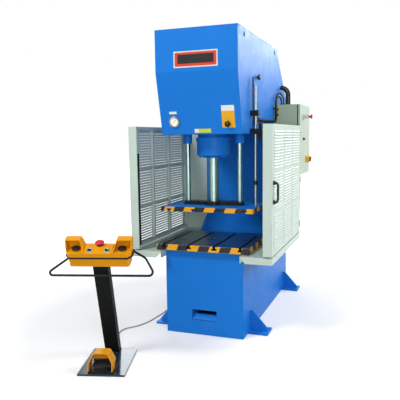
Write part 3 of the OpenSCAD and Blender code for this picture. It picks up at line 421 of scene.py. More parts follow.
def hazard_bands(tree, given, out):
    """Slanted bands: fract((x - y - slant * z - start) / pitch) below one half is a band."""
    x, y, z = axes(tree)
    run = calc(tree, "SUBTRACT", calc(tree, "SUBTRACT", x, y), calc(tree, "MULTIPLY", z, given["Slant"]))
    run = calc(tree, "SUBTRACT", run, given["Start"])
    turn = calc(tree, "FRACT", calc(tree, "DIVIDE", run, given["Pitch"]))
    tree.links.new(calc(tree, "LESS_THAN", turn, 0.5), out["Mask"])


def tool_marks(tree, given, out):
    """Fine grinding lines that run along X, with a few long scratches and soft oil stains."""
    fine = noise(tree, stretched(tree, 3.0, 900.0, 900.0), 1.0, 3.0, 0.6)
    scratch = spread(tree, noise(tree, stretched(tree, 7.0, 160.0, 160.0), 1.0, 2.0, 0.5), 0.66, 0.74)
    stain = spread(tree, noise(tree, object_place(tree), 5.5, 5.0, 0.6), 0.40, 0.66)
    tone = calc(tree, "MULTIPLY_ADD", fine, 0.35, 0.82)
    tone = calc(tree, "SUBTRACT", tone, calc(tree, "MULTIPLY", stain, given["Stain"]))
    tree.links.new(calc(tree, "MULTIPLY_ADD", scratch, 0.12, tone), out["Tone"])
    rough = calc(tree, "MULTIPLY_ADD", fine, 0.16, given["Gloss"])
    tree.links.new(calc(tree, "SUBTRACT", rough, calc(tree, "MULTIPLY", stain, 0.08)), out["Roughness"])
    tree.links.new(calc(tree, "MULTIPLY_ADD", scratch, -0.6, fine), out["Height"])


def moulded_grain(tree, given, out):
    """Fine spark-eroded grain of a moulded part, with finger smears in its gloss."""
    where = object_place(tree)
    tree.links.new(noise(tree, where, 1500.0, 2.0, 0.5), out["Height"])
    smear = spread(tree, noise(tree, where, 30.0, 4.0, 0.6), 0.4, 0.7, -0.05, 0.1)
    tree.links.new(calc(tree, "ADD", given["Gloss"], smear), out["Roughness"])
    tone = spread(tree, noise(tree, where, 14.0, 4.0, 0.6), 0.3, 0.7, 0.92, 1.08)
    tree.links.new(mixed(tree, 1.0, given["Paint"], grey(tree, tone), "MULTIPLY"), out["Color"])


WHITE = (1.0, 1.0, 1.0, 1.0)
PAINT = effect(
    "paint_film", {"Paint": WHITE, "Gloss": 0.35, "Tone": 0.05, "Dust": 0.3},
    {"Color": COLOUR, "Roughness": VALUE, "Height": VALUE}, paint_film,
)
EDGE = effect(
    "edge_wear_and_highlight", {"Radius": 0.002, "Amount": 0.5},
    {"Mask": VALUE, "Normal": "NodeSocketVector"}, edge_wear_and_highlight,
)
BANDS = effect(
    "hazard_bands", {"Pitch": 0.16, "Start": 0.0, "Slant": 0.42}, {"Mask": VALUE}, hazard_bands,
)
MARKS = effect(
    "tool_marks", {"Gloss": 0.25, "Stain": 0.2},
    {"Tone": VALUE, "Roughness": VALUE, "Height": VALUE}, tool_marks,
)
GRAIN = effect(
    "moulded_grain", {"Paint": WHITE, "Gloss": 0.4},
    {"Color": COLOUR, "Roughness": VALUE, "Height": VALUE}, moulded_grain,
)


def use(tree, group, **inputs):
    """A placed group's outputs."""
    return add(tree, "ShaderNodeGroup", inputs, node_tree=group).outputs


def bumped(tree, height, strength, distance, normal=None):
    """A Bump node's normal."""
    inputs = {"Height": height, "Strength": strength, "Distance": distance}
    if normal is not None:
        inputs["Normal"] = normal
    return add(tree, "ShaderNodeBump", inputs).outputs[0]


def new_finish(name):
    """An empty material: its tree and its Principled BSDF."""
    finish = bpy.data.materials.new(name)
    finish.use_nodes = True
    tree = finish.node_tree
    tree.nodes.clear()
    shader = add(tree, "ShaderNodeBsdfPrincipled")
    tree.links.new(shader.outputs[0], add(tree, "ShaderNodeOutputMaterial").inputs[0])
    return finish, tree, shader


def link(tree, source, shader, name):
    """One link into a shader's named socket."""
    tree.links.new(source, shader.inputs[name])


def painted(
    name, paint, gloss=0.35, tone=0.05, dust=0.3, edge_colour=(0.42, 0.43, 0.44, 1), wear_and_highlight=0.35, radius=0.0022,
    specular=0.3, coat=0.0, colour=None,
):
    """Painted metal: a film with its peel, thin at the edges, where the lighter edge colour is painted
    highlight as well as wear; a colour function paints by place.
    """
    finish, tree, shader = new_finish(name)
    coat_colour = colour(tree) if colour else (*paint, 1)
    film = use(tree, PAINT, Paint=coat_colour, Gloss=gloss, Tone=tone, Dust=dust)
    edge = use(tree, EDGE, Radius=radius, Amount=wear_and_highlight)
    # The edge colour over the edge mask is a painted edge highlight as well as worn paint.
    link(tree, mixed(tree, edge["Mask"], film["Color"], edge_colour), shader, "Base Color")
    link(tree, film["Roughness"], shader, "Roughness")
    link(tree, bumped(tree, film["Height"], 0.12, 0.0006, edge["Normal"]), shader, "Normal")
    shader.inputs["Specular IOR Level"].default_value = specular
    shader.inputs["Coat Weight"].default_value = coat
    return finish


def moulded(name, paint, gloss=0.4, depth=0.25, specular=0.25):
    """Moulded plastic or rubber with its grain."""
    finish, tree, shader = new_finish(name)
    grain = use(tree, GRAIN, Paint=(*paint, 1), Gloss=gloss)
    edge = use(tree, EDGE, Radius=0.0012, Amount=0.0)
    link(tree, grain["Color"], shader, "Base Color")
    link(tree, grain["Roughness"], shader, "Roughness")
    link(tree, bumped(tree, grain["Height"], depth, 0.0003, edge["Normal"]), shader, "Normal")
    shader.inputs["Specular IOR Level"].default_value = specular
    return finish


def machined(name, steel, gloss, stain, bump=0.15, scale=None):
    """Ground or turned metal with tool marks and lighter edges, a painted highlight as well as wear; scale
    may be a function that darkens the steel by place.
    """
    finish, tree, shader = new_finish(name)
    marks = use(tree, MARKS, Gloss=gloss, Stain=stain)
    edge = use(tree, EDGE, Radius=0.0012, Amount=0.8)
    base = mixed(tree, 1.0, (*steel, 1), grey(tree, marks["Tone"]), "MULTIPLY")
    # The pale steel at the edges is a painted edge highlight as well as wear.
    base = mixed(tree, edge["Mask"], base, (0.75, 0.76, 0.76, 1))
    if scale:
        base = mixed(tree, scale(tree), base, (0.03, 0.03, 0.03, 1))
    link(tree, base, shader, "Base Color")
    link(tree, marks["Roughness"], shader, "Roughness")
    link(tree, bumped(tree, marks["Height"], bump, 0.0002, edge["Normal"]), shader, "Normal")
    shader.inputs["Metallic"].default_value = 1.0
    return finish


def between(tree, value, low, high):
    """1 where a value lies between two limits."""
    above = calc(tree, "GREATER_THAN", value, low)
    return calc(tree, "MULTIPLY", above, calc(tree, "LESS_THAN", value, high))


def tape_colour(corner, pitch):
    """Yellow bands on black tape from its front left corner, scuffed through here and there."""
    slant = 0.42
    x, y, z = corner

    def by_place(tree):
        bands = use(tree, BANDS, Pitch=pitch, Start=x - y - slant * z, Slant=slant)["Mask"]
        scuff = spread(tree, noise(tree, stretched(tree, 60.0, 60.0, 220.0), 1.0, 4.0, 0.7), 0.66, 0.76)
        tape = mixed(tree, bands, (0.012, 0.012, 0.012, 1), (0.83, 0.37, 0.006, 1))
        return mixed(tree, calc(tree, "MULTIPLY", scuff, 0.35), tape, (0.20, 0.19, 0.17, 1))
    return by_place


PLATE_WHITE, PLATE_RED = (0.78, 0.80, 0.76, 1), (0.66, 0.055, 0.035, 1)
KNOB_AMBER, STRIP_LIME = (0.80, 0.40, 0.006, 1), (0.56, 0.66, 0.02, 1)
RIM_PALE, NAME_DARK = (0.72, 0.73, 0.72, 1), (0.012, 0.014, 0.014, 1)
FAR = 9.0


def plate_colour(tree):
    """Bare plates on the cover: each window of x and z is painted over the ones before it.

    The knob plate with its pale header, the gauge plate, the lime strip with its pale end, and the dark
    name plate in a red field with a pale rim.
    """
    x, _, z = axes(tree)
    windows = (
        (-FAR, -0.1, -FAR, FAR, PLATE_WHITE), (0.1, FAR, 1.643, FAR, PLATE_WHITE),
        (-0.06, 0.09, -FAR, 1.6, STRIP_LIME), (-0.06, -0.018, -FAR, 1.6, PLATE_WHITE),
        (-FAR, FAR, 1.93, 2.06, RIM_PALE), (-0.152, 0.152, 1.948, 2.042, PLATE_RED),
        (-0.132, 0.132, 1.966, 2.028, NAME_DARK),
    )
    colour = KNOB_AMBER
    for left, right, low, high, inside in windows:
        window = calc(tree, "MULTIPLY", between(tree, x, left, right), between(tree, z, low, high))
        colour = mixed(tree, window, colour, inside)
    return colour


def rod_scale(tree):
    """Dark graduations every 10 mm on the rod's right half, longer every 50 mm."""
    x, y, z = axes(tree)
    fine = calc(tree, "LESS_THAN", calc(tree, "FRACT", calc(tree, "DIVIDE", z, 0.01)), 0.22)
    long = calc(tree, "LESS_THAN", calc(tree, "FRACT", calc(tree, "DIVIDE", z, 0.05)), 0.06)
    right = calc(tree, "MULTIPLY", fine, calc(tree, "GREATER_THAN", x, 0.337))
    wide = calc(tree, "MULTIPLY", long, calc(tree, "GREATER_THAN", x, 0.333))
    ruled = calc(tree, "MAXIMUM", right, wide)
    return calc(tree, "MULTIPLY", ruled, calc(tree, "LESS_THAN", y, -0.026))


def clear_glass():
    """Gauge glass with faint smears in its gloss."""
    finish, tree, shader = new_finish("gauge_glass")
    smear = spread(tree, noise(tree, object_place(tree), 60.0, 4.0, 0.6), 0.4, 0.7, 0.02, 0.12)
    link(tree, smear, shader, "Roughness")
    shader.inputs["Base Color"].default_value = (0.96, 0.98, 0.98, 1)
    shader.inputs["Transmission Weight"].default_value = 1.0
    shader.inputs["IOR"].default_value = 1.05
    return finish


# Each finish's edge colour is lighter than its paint: a painted edge highlight as well as wear.
BLACK_EDGE = (0.06, 0.06, 0.06, 1)
blue_enamel = painted(
    "blue_enamel", (0.010, 0.188, 0.66), 0.42, 0.05, 0.12, (0.07, 0.27, 0.66, 1), specular=0.12
)
cream_coat = painted("cream_coat", (0.54, 0.655, 0.585), 0.42, 0.04, 0.2, (0.75, 0.79, 0.74, 1))
cabinet_coat = painted("cabinet_coat", (0.46, 0.56, 0.45), 0.45, 0.04, 0.2, (0.66, 0.70, 0.64, 1))
# Copy of the cabinet's paint tinted yellower to cancel the blue light bounced onto the cabinet body:
# painted light, not a second paint.
cabinet_coat_bounce_tinted = painted(
    "cabinet_coat_bounce_tinted", (0.50, 0.60, 0.36), 0.55, 0.04, 0.2, (0.66, 0.70, 0.60, 1), specular=0.2
)
black_enamel = painted(
    "black_enamel", (0.010, 0.012, 0.012), 0.26, 0.15, 0.08, BLACK_EDGE, specular=0.15
)
plate_enamel = painted("plate_enamel", (0.010, 0.030, 0.045), 0.14, 0.15, 0.03, BLACK_EDGE, coat=0.3)
column_enamel = painted(
    "column_enamel", (0.008, 0.009, 0.009), 0.45, 0.15, 0.03, (0.05, 0.05, 0.05, 1), specular=0.06
)
orange_enamel = painted(
    "orange_enamel", (0.78, 0.32, 0.002), 0.38, 0.05, 0.06, (0.88, 0.42, 0.02, 1), specular=0.15
)
tank_enamel = painted("tank_enamel", (0.30, 0.31, 0.32), gloss=0.45)
TAPE = {"gloss": 0.38, "tone": 0.0, "dust": 0.3, "edge_colour": (0.30, 0.28, 0.2, 1), "wear_and_highlight": 0.6, "radius": 0.001}
table_tape = painted("table_tape", None, **TAPE, colour=tape_colour((-0.266, -0.301, 0.664), 0.1623))
platen_tape = painted("platen_tape", None, **TAPE, colour=tape_colour((-0.329, -0.196, 0.934), 0.1587))
bare_plates = painted(
    "bare_plates", None, 0.32, 0.02, 0.02, (0.6, 0.6, 0.6, 1), 0.3, 0.0008, colour=plate_colour
)
switch_yellow = painted(
    "switch_yellow", (0.66, 0.45, 0.03), gloss=0.35, dust=0.1, wear_and_highlight=0.2, radius=0.0008
)
dial_white = painted("dial_white", (0.84, 0.84, 0.80), 0.5, 0.02, 0.05, wear_and_highlight=0.0, radius=0.0005)
ground_table = machined("ground_table", (0.24, 0.275, 0.295), 0.26, 0.30)
chromed = machined("chromed", (0.29, 0.42, 0.39), 0.26, 0.10, 0.03)
ruled_rod = machined("ruled_rod", (0.36, 0.43, 0.43), 0.30, 0.10, 0.02, rod_scale)
gauge_rim = machined("gauge_rim", (0.20, 0.23, 0.20), 0.34, 0.15, 0.05)
zinc_plate = machined("zinc_plate", (0.58, 0.60, 0.60), 0.28, 0.15, 0.1)
black_mould = moulded("black_mould", (0.010, 0.011, 0.012), 0.42, specular=0.2)
black_rubber = moulded("black_rubber", (0.014, 0.014, 0.014), 0.62, 0.4, specular=0.2)
red_mould = moulded("red_mould", (0.60, 0.018, 0.035), 0.28, 0.1)
module_grey = moulded("module_grey", (0.55, 0.56, 0.56), 0.5)
sheath_grey = moulded("sheath_grey", (0.30, 0.31, 0.29), 0.5)
lens_glass = clear_glass()

FINISHES = {
    "blue_paint": blue_enamel, "table_steel": ground_table, "tank_grey": tank_enamel,
    "black_paint": black_enamel, "cream_paint": cream_coat, "hinge_zinc": zinc_plate,
    "cabinet_paint": cabinet_coat, "module_grey": module_grey, "black_plastic": black_mould,
    "dial_white": dial_white, "gauge_glass": lens_glass, "plate_yellow": bare_plates,
    "console_yellow": orange_enamel, "cable_grey": sheath_grey, "ground_steel": chromed,
    "red_plastic": red_mould, "hazard_tape": table_tape,
}
SPECIAL = {
    "platen_edge_tape": platen_tape, "limit_rod": ruled_rod, "main_switch_plate": switch_yellow,
    "pedestal_plate": plate_enamel, "pedestal_column": column_enamel, "cabinet_body": cabinet_coat_bounce_tinted,
}
for part in frame["record"]["subparts"]:
    mesh = nodes[part["node"]].data
    mesh.materials.clear()
    mesh.materials.append(SPECIAL.get(part["node"], FINISHES[part["material_slot"]]))

aim_camera()
light_studio()

# The cord: the control cable from the pedestal's column to the gland low on the frame's left side.

HALF = 0.300
CABLE_R = 0.0045
CABLE_ROUTE = [
    (-0.491, -0.745, 0.062), (-0.496, -0.727, 0.067), (-0.506, -0.698, 0.046), (-0.526, -0.650, 0.012),
    (-0.562, -0.568, CABLE_R), (-0.604, -0.485, CABLE_R), (-0.630, -0.390, CABLE_R),
    (-0.620, -0.318, CABLE_R), (-0.582, -0.270, CABLE_R), (-0.548, -0.210, CABLE_R),
    (-0.518, -0.108, CABLE_R), (-0.502, 0.050, CABLE_R), (-0.496, 0.180, CABLE_R),
    (-0.480, 0.320, CABLE_R), (-0.448, 0.440, CABLE_R), (-0.412, 0.530, 0.014),
    (-0.374, 0.585, 0.066), (-0.342, 0.599, 0.104), (-HALF - 0.0182, 0.600, 0.110),
]
UP = (0, 0, 1)


def lay_cable():
    """The cable as one tube on its route, with a moulded sleeve that thins out at each end."""
    path = evenly(catmull_rom(CABLE_ROUTE, 24), 0.006)
    tube = along(path, CABLE_R, UP, 14)
    cable = make_piece("control_cable_sheath", [tube], sheath_grey, "frame")
    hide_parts("control_cable")
    taper = np.linspace(0.0078, 0.0051, 6)
    sleeves = [along(path[:6], taper, UP, 18), along(path[-6:], taper[::-1], UP, 18)]
    sleeve = make_piece("control_cable_sleeves", sleeves, black_rubber, "frame")


# Conduits and glands.

CAB_X, CAB_Y, CAB_TOP = 0.522, 0.746, 1.730
DUCT_X, DUCT_Y, DUCT_Z = HALF + 0.024, 0.715, 1.588


def ribbed(path, radius, reference, pitch=0.0065, depth=0.0006):
    """Corrugated hose: the radius runs as r + depth * cos(2 pi s / pitch) over the arc length s."""
    path = evenly(path, pitch / 4)
    s = np.arange(len(path)) * pitch / 4
    return along(path, radius + depth * np.cos(2 * np.pi * s / pitch), reference, 20)


def gland_at(place, radius):
    """Cable gland: hexagon foot with a chamfer, then a ribbed cap nut that closes round the hose."""
    foot = radius + 0.0070
    hexagon = turned([(0, 0), (foot, 0), (foot, 0.0070), (foot - 0.0012, 0.0080), (0, 0.0080)], 6)
    r = radius + 0.0034
    cap = [(0, 0.008), (r, 0.008), (r, 0.0145), (r - 0.0012, 0.0172), (radius + 0.0008, 0.018), (0, 0.018)]
    nut = turned(cap, 72, 18, 0.0004)
    return [placed(hexagon, place), placed(nut, place)]


def hose_over(start, end, height, foot, radius):
    """Hose that rises at one place, turns over in a flat arch and comes down at another."""
    start, end = np.array(start), np.array(end)
    middle, arm = (start + end) / 2, (start - end) / 2
    t = np.linspace(0, np.pi, 25)[:, None]
    arc = np.concatenate([middle + arm * np.cos(t), height + 0.7 * np.linalg.norm(arm) * np.sin(t)], 1)
    path = np.concatenate([[(*start, height - 0.015)], arc, [(*end, foot)]])
    return ribbed(path, radius, (arm[1], -arm[0], 0))


def run_conduits():
    """All hoses of the conduits node, as smooth corrugated tubes with their glands and clips."""
    corners = [(DUCT_X, 0.110, DUCT_Z), (DUCT_X, DUCT_Y, DUCT_Z), (DUCT_X, DUCT_Y, CAB_TOP + 0.030)]
    shapes = [ribbed(rounded(corners, [0.040], 10), 0.0098, (1, 0, 0))]
    low, high = (HALF + 0.040, CAB_Y + 0.130), (HALF + 0.045, CAB_Y + 0.193)
    shapes.append(hose_over((DUCT_X, DUCT_Y), high, CAB_TOP + 0.023, CAB_TOP, 0.0064))
    shapes.append(hose_over((DUCT_X, DUCT_Y), low, CAB_TOP + 0.013, CAB_TOP, 0.0064))
    shapes += gland_at(shifted(*high, CAB_TOP), 0.0065) + gland_at(shifted(*low, CAB_TOP), 0.0065)
    for back, rise, bend, r in ((0.294, 0.170, 0.070, 0.0148), (0.250, 0.158, 0.062, 0.0128)):
        x, y, z = HALF + bend + 0.0005, CAB_Y + back, CAB_TOP + rise
        elbow = rounded([(HALF, y, z), (x, y, z), (x, y, CAB_TOP)], [bend], 14)
        shapes.append(ribbed(elbow, r, (0, 1, 0)))
        shapes += gland_at(shifted(HALF + bend, y, CAB_TOP), r)
    for z in (CAB_TOP - 0.040, CAB_TOP - 0.085):
        shapes += gland_at(shifted(HALF + 0.029, CAB_Y, z) @ turned_by(90, "X"), 0.006)
        shapes.append(along([(DUCT_X + 0.002, CAB_Y, z), (DUCT_X + 0.002, DUCT_Y, z)], 0.004, UP))
    shapes += gland_at(shifted(-HALF, 0.600, 0.110) @ facing(-1), CABLE_R)
    clip = soft_box((HALF, -0.008, DUCT_Z - 0.012), (DUCT_X, 0.008, DUCT_Z + 0.012), 0.002)
    shapes += at_each(clip, [shifted(0, y, 0) for y in (0.230, 0.430, 0.630)])
    shapes.append(soft_box((HALF, DUCT_Y - 0.012, 1.690), (DUCT_X, DUCT_Y + 0.012, 1.706), 0.002))
    hoses = make_piece("conduit_hoses", shapes, black_mould, "frame")
    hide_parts("conduits")


# The console's rail, flange and buttons.

def slab(outline, levels):
    """Closed outline at each level's height, set in along its own normals by the level's inset."""
    p = np.asarray(outline, float)
    t = np.roll(p, -1, 0) - np.roll(p, 1, 0)
    n = np.stack([t[:, 1], -t[:, 0]], 1) / np.linalg.norm(t, axis=1, keepdims=True)
    inset, height = np.array(levels, float).T[:, :, None, None]
    flat = p - inset * n
    grid = np.concatenate([flat, np.broadcast_to(height, (*flat.shape[:2], 1))], -1)
    return over_grid(grid, wrap_columns=True, ends=True)


def bend_rail():
    """Bent rail under the console, its foot on the lower shell, and the flange between the shells."""
    u, tub = 0.207, 0.192
    start, end = np.array([0.035, 0.064]), np.array([-0.048, -0.065])
    low = np.linalg.norm(end - start)
    down = (end - start) / low
    corners = [
        (-tub - 0.0044, 0.036, 0), (-u - 0.156, low, 0), (u + 0.141, low, 0), (u + 0.078, 0.044, 0),
        (u + 0.005, 0.002, 0),
    ]
    flat = rounded(corners, [0.017, 0.024, 0.055], 14)
    path = np.stack([flat[:, 0], start[0] + flat[:, 1] * down[0], start[1] + flat[:, 1] * down[1]], 1)
    rail = along(evenly(path, 0.006), 0.0075, (0, -down[1], down[0]), 24)
    h, d = u + 0.007, CONSOLE_D + 0.002
    front = [(h - 0.028, -d), (h, 0.034 - d), (h, d), (-h, d), (-h, 0.034 - d), (0.028 - h, -d)]
    plan = rounded([(0, -d), *front, (0, -d)], [0.010, 0.010, 0.006, 0.006, 0.010, 0.010], 6)[:-1]
    rim = [
        (0.0050, 0.0562), (0.0022, 0.0572), (0.0006, 0.0592), (0, 0.0620), (0, 0.0660), (0.0006, 0.0688),
        (0.0022, 0.0708), (0.0050, 0.0718),
    ]
    foot = soft_box((-tub - 0.004, 0.0025, 0.0217), (-tub, 0.0285, 0.0457), 0.0012)
    shapes = [placed(shape, CONSOLE) for shape in (rail, slab(plan, rim), foot)]
    piece = make_piece("console_rail_tube", shapes, black_enamel, "frame")
    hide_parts("console_rail")


PALM = [
    (0.012, 0.0842), (0.012, 0.1055), (0.0250, 0.1055), (0.0266, 0.1064), (0.0270, 0.1080),
    (0.0268, 0.1104), (0.0250, 0.1135), (0.0215, 0.1152), (0.0150, 0.1160), (0.0080, 0.1163), (0, 0.1164),
]
MUSHROOM = [
    (0.011, -0.0238), (0.011, 0.0052), (0.0240, 0.0052), (0.0280, 0.0080), (0.0297, 0.0108),
    (0.0297, 0.0130), (0.0275, 0.0160), (0.0230, 0.0184), (0.0150, 0.0197), (0, 0.0201),
]
CONE = [
    (0.009, -0.0008), (0.009, 0.0600), (0.0105, 0.0605), (0.0140, 0.0660), (0.0190, 0.0710),
    (0.0214, 0.0738), (0.0214, 0.0752), (0.0195, 0.0775), (0.0140, 0.0787), (0, 0.0790),
]
PUSH = [
    (0.0109, -0.005), (0.0109, 0.0078), (0.0100, 0.0088), (0.0085, 0.0090), (0.0080, 0.0084), (0, 0.0084),
]
PUSH_BEZEL = [
    (0.0122, 0), (0.0122, 0.0050), (0.0132, 0.0060), (0.0160, 0.0056), (0.0186, 0.0034), (0.0194, 0),
]
STOP_COLLAR = [
    (0.0201, -0.0075), (0.0216, -0.0075), (0.0218, -0.0010), (0.0206, 0.0006), (0.0120, 0.0006),
    (0.0120, 0),
]
STOP_BOSS = [
    (0.0204, 0), (0.0208, 0.0010), (0.0208, 0.0055), (0.0196, 0.0066), (0.0136, 0.0066), (0.0136, 0.0490),
    (0.0126, 0.0505), (0.0096, 0.0505), (0.0096, 0.0498),
]


def turn_console_buttons():
    """Turned palm, push and stop buttons of the console, with bezels and a collar that stay still."""
    for side, body in ((-1, "left"), (1, "right")):
        dome = placed(turned(PALM, 64), CONSOLE @ shifted(side * 0.146, -0.004, 0))
        palm = make_piece(body + "_palm_cap", [dome], black_mould, body + "_palm")
        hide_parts(body + "_palm_button")
        deck = on_deck(side * 0.055)
        cap = placed(turned(PUSH, 48), deck)
        push = make_piece(body + "_push_cap", [cap], black_mould, body + "_push")
        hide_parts(body + "_push_button")
        bezel = placed(turned(PUSH_BEZEL, 48, ring=True), deck)
        make_piece(body + "_push_bezel", [bezel], chromed, "frame")
    boss = CONSOLE @ shifted(0, 0.030, BOSS_TOP)
    mushroom = placed(turned(MUSHROOM, 64), boss)
    stop = make_piece("console_stop_cap", [mushroom], red_mould, "console_stop")
    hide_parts("console_stop_button")
    collar = placed(turned(STOP_COLLAR, 64, ring=True), boss)
    make_piece("console_stop_collar", [collar], black_mould, "frame")


def turn_cabinet_stop():
    """Stop button on the cabinet's door, in a long boss that doesn't press with it."""
    place = shifted(CAB_X, CAB_Y + 0.172, CAB_TOP - 0.102) @ facing(1)
    cone = placed(turned(CONE, 64), place)
    cap = make_piece("cabinet_stop_cap", [cone], red_mould, "cabinet_stop")
    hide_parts("cabinet_stop_button")
    boss = placed(turned(STOP_BOSS, 64, ring=True), place)
    make_piece("cabinet_stop_boss", [boss], module_grey, "cabinet_front")


# Gauge, knob and the plates' screws on the front cover.

GAUGE = on_cover(-0.196, 1.577)
KNOB = on_cover(0.205, 1.556)


def tick(angle, inner, outer, width, height):
    """Flat mark on the dial: a quad from one radius to another along the angle."""
    r = np.array([inner, outer])[:, None]
    w = np.array([-width, width])[None, :] / 2
    c, s = math.cos(angle), math.sin(angle)
    return over_grid(np.stack([r * c - w * s, r * s + w * c, height + 0 * r + 0 * w], -1))


def dress_gauge():
    """Rolled bezel over the gauge's rim, marks over 270 degrees of its dial, and its needle with a hub."""
    rolled = [
        (0.0318, 0.0086), (0.0322, 0.0100), (0.0345, 0.0108), (0.0385, 0.0102), (0.0412, 0.0078),
        (0.0418, 0.0050), (0.0418, 0.0004), (0.0345, 0.0004), (0.0345, 0.0086),
    ]
    bezel = placed(turned(rolled, 72, ring=True), GAUGE)
    make_piece("gauge_bezel", [bezel], gauge_rim, "frame")
    angles = np.radians(np.linspace(225, -45, 31))
    marks = [tick(angle, 0.0235, 0.0285, 0.0010, 0.0034) for angle in np.delete(angles, np.s_[::5])]
    marks += [tick(angle, 0.0190, 0.0285, 0.0022, 0.0034) for angle in angles[::5]]
    marks = [placed(mark, GAUGE) for mark in marks]
    make_piece("gauge_marks", marks, black_mould, "frame")
    outline = [
        (-0.0024, -0.0100), (0.0024, -0.0100), (0.0020, 0.0080), (0.0006, 0.0262), (-0.0006, 0.0262),
        (-0.0020, 0.0080),
    ]
    hand = placed(slab(outline, [(0, 0.0037), (0, 0.0045)]), GAUGE @ turned_by(-45, "Z"))
    pin = placed(turned([(0.0015, -0.0039), (0.0015, 0.0040)], 32), GAUGE)
    needle = make_piece("gauge_hand", [hand, pin], black_mould, "needle")
    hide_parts("gauge_needle")
    hub = turned([(0, 0.0056), (0.0024, 0.0054), (0.0032, 0.0046), (0.0032, 0.0037)], 32)
    make_piece("needle_hub", [placed(hub, GAUGE)], zinc_plate, "needle")


def turn_knob():
    """Five-lobed pressure knob with a pale pointer line on its top."""
    stem = turned([(0.005, -0.0138), (0.005, 0.0030)], 32)
    skirt = turned([(0.005, 0.0027), (0.0140, 0.0027), (0.0140, 0.0090), (0.0130, 0.0100)], 72)
    lobed = [
        (0.0130, 0.0080), (0.0185, 0.0088), (0.0204, 0.0110), (0.0208, 0.0150), (0.0204, 0.0210),
        (0.0185, 0.0255), (0.0140, 0.0278), (0, 0.0285),
    ]
    shapes = [placed(shape, KNOB) for shape in (stem, skirt, turned(lobed, 144, 5, 0.0022))]
    knob = make_piece("pressure_knob_grip", shapes, black_mould, "knob")
    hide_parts("pressure_knob")
    line = soft_box((-0.0007, 0.003, 0.0282), (0.0007, 0.0125, 0.0288), 0.0002)
    make_piece("knob_pointer", [placed(line, KNOB)], dial_white, "knob")


def screw_head(radius):
    """Pan head that stands 0.55 r over its seat, with a turned recess."""
    r, h = radius * np.array([
        (1, 0), (1, 0.18), (0.88, 0.40), (0.62, 0.53), (0.40, 0.55), (0.34, 0.30), (0, 0.28),
    ]).T
    h[0] = -0.0002
    return turned(np.stack([r, h], 1), 24)


def screws(name, radius, seats, finish, body):
    """One piece with a pan head at each seat."""
    make_piece(name, at_each(screw_head(radius), seats), finish, body)


def drive_screws():
    """Screws of the plates, hinge leaves, limit blocks and switch plate."""
    forward = turned_by(90, "X")
    seats = [shifted(x, -0.368, FOLD + z) @ forward for x in (-0.152, 0.152) for z in (0.034, 0.128)]
    seats += [KNOB @ shifted(x, y, 0.0015) for x in (-0.038, 0.045) for y in (-0.023, 0.123)]
    screws("plate_screws", 0.0034, seats, zinc_plate, "frame")
    heights = [z + dz for z in (0.717, 1.093, 1.479) for dz in (-0.014, 0.014)]
    for side, body in ((-1, "left_guard"), (1, "right_guard")):
        seats = [shifted(side * 0.533, 0.696, z) @ facing(side) for z in heights]
        screws(body + "_screws", 0.0045, seats, zinc_plate, body)
    seats = [shifted(0.312, -0.048, z) @ forward for z in (1.490, 1.512, 1.622, 1.644)]
    screws("limit_block_screws", 0.0050, seats, black_enamel, "frame")
    plate = shifted(CAB_X + 0.004, CAB_Y + 0.340, CAB_TOP - 0.477)
    seats = [plate @ shifted(0, y, z) @ facing(1) for y in (-0.027, 0.027) for z in (-0.027, 0.027)]
    screws("switch_plate_screws", 0.0026, seats, zinc_plate, "cabinet_front")


# Handle, lock, switch rollers, welds, and the pedal's ribs and hood.

def rounded_bar(width, height, radius, steps=5):
    """Outline of a rectangle with round corners, as (a, b) pairs."""
    t = np.linspace(0, 2 * np.pi, 4 * steps, endpoint=False) + np.pi / (4 * steps)
    a = np.sign(np.cos(t)) * (width / 2 - radius) + radius * np.cos(t)
    b = np.sign(np.sin(t)) * (height / 2 - radius) + radius * np.sin(t)
    return np.stack([a, b], 1)


def fit_handle():
    """Bridge handle on the right guard's post: a rounded bar over two feet."""
    x, y, z = 0.530, -0.3115, 1.087
    bends = [
        (0.006, 0, -0.070), (0.026, 0, -0.064), (0.032, 0, -0.046), (0.032, 0, 0.046), (0.026, 0, 0.064),
        (0.006, 0, 0.070),
    ]
    grip = rounded(bends, [0.012, 0.014, 0.014, 0.012], 8)
    shapes = [bar_along(grip, rounded_bar(0.0135, 0.0248, 0.0045), (0, 1, 0))]
    foot = soft_box((0, -0.0124, -0.0132), (0.015, 0.0124, 0.0132), 0.004, 4)
    shapes += at_each(foot, [shifted(0, 0, -0.0655), shifted(0, 0, 0.0655)])
    shapes = [placed(shape, shifted(x, y, z)) for shape in shapes]
    handle = make_piece("guard_handle_bar", shapes, black_mould, "right_guard")
    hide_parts("right_door_handle")


def fit_lock():
    """Quarter-turn lock on the cabinet's door."""
    place = shifted(CAB_X, CAB_Y + 0.184, CAB_TOP - 0.294) @ facing(1)
    rose = turned([
        (0.0140, 0), (0.0140, 0.0030), (0.0128, 0.0046), (0.0100, 0.0050), (0.0100, 0.0110),
        (0.0088, 0.0124), (0, 0.0124),
    ], 48)
    wing = soft_box((-0.0035, -0.0150, 0.0110), (0.0035, 0.0150, 0.0200), 0.0025)
    shapes = [placed(shape, place) for shape in (rose, wing)]
    make_piece("cabinet_lock", shapes, black_mould, "cabinet_front")


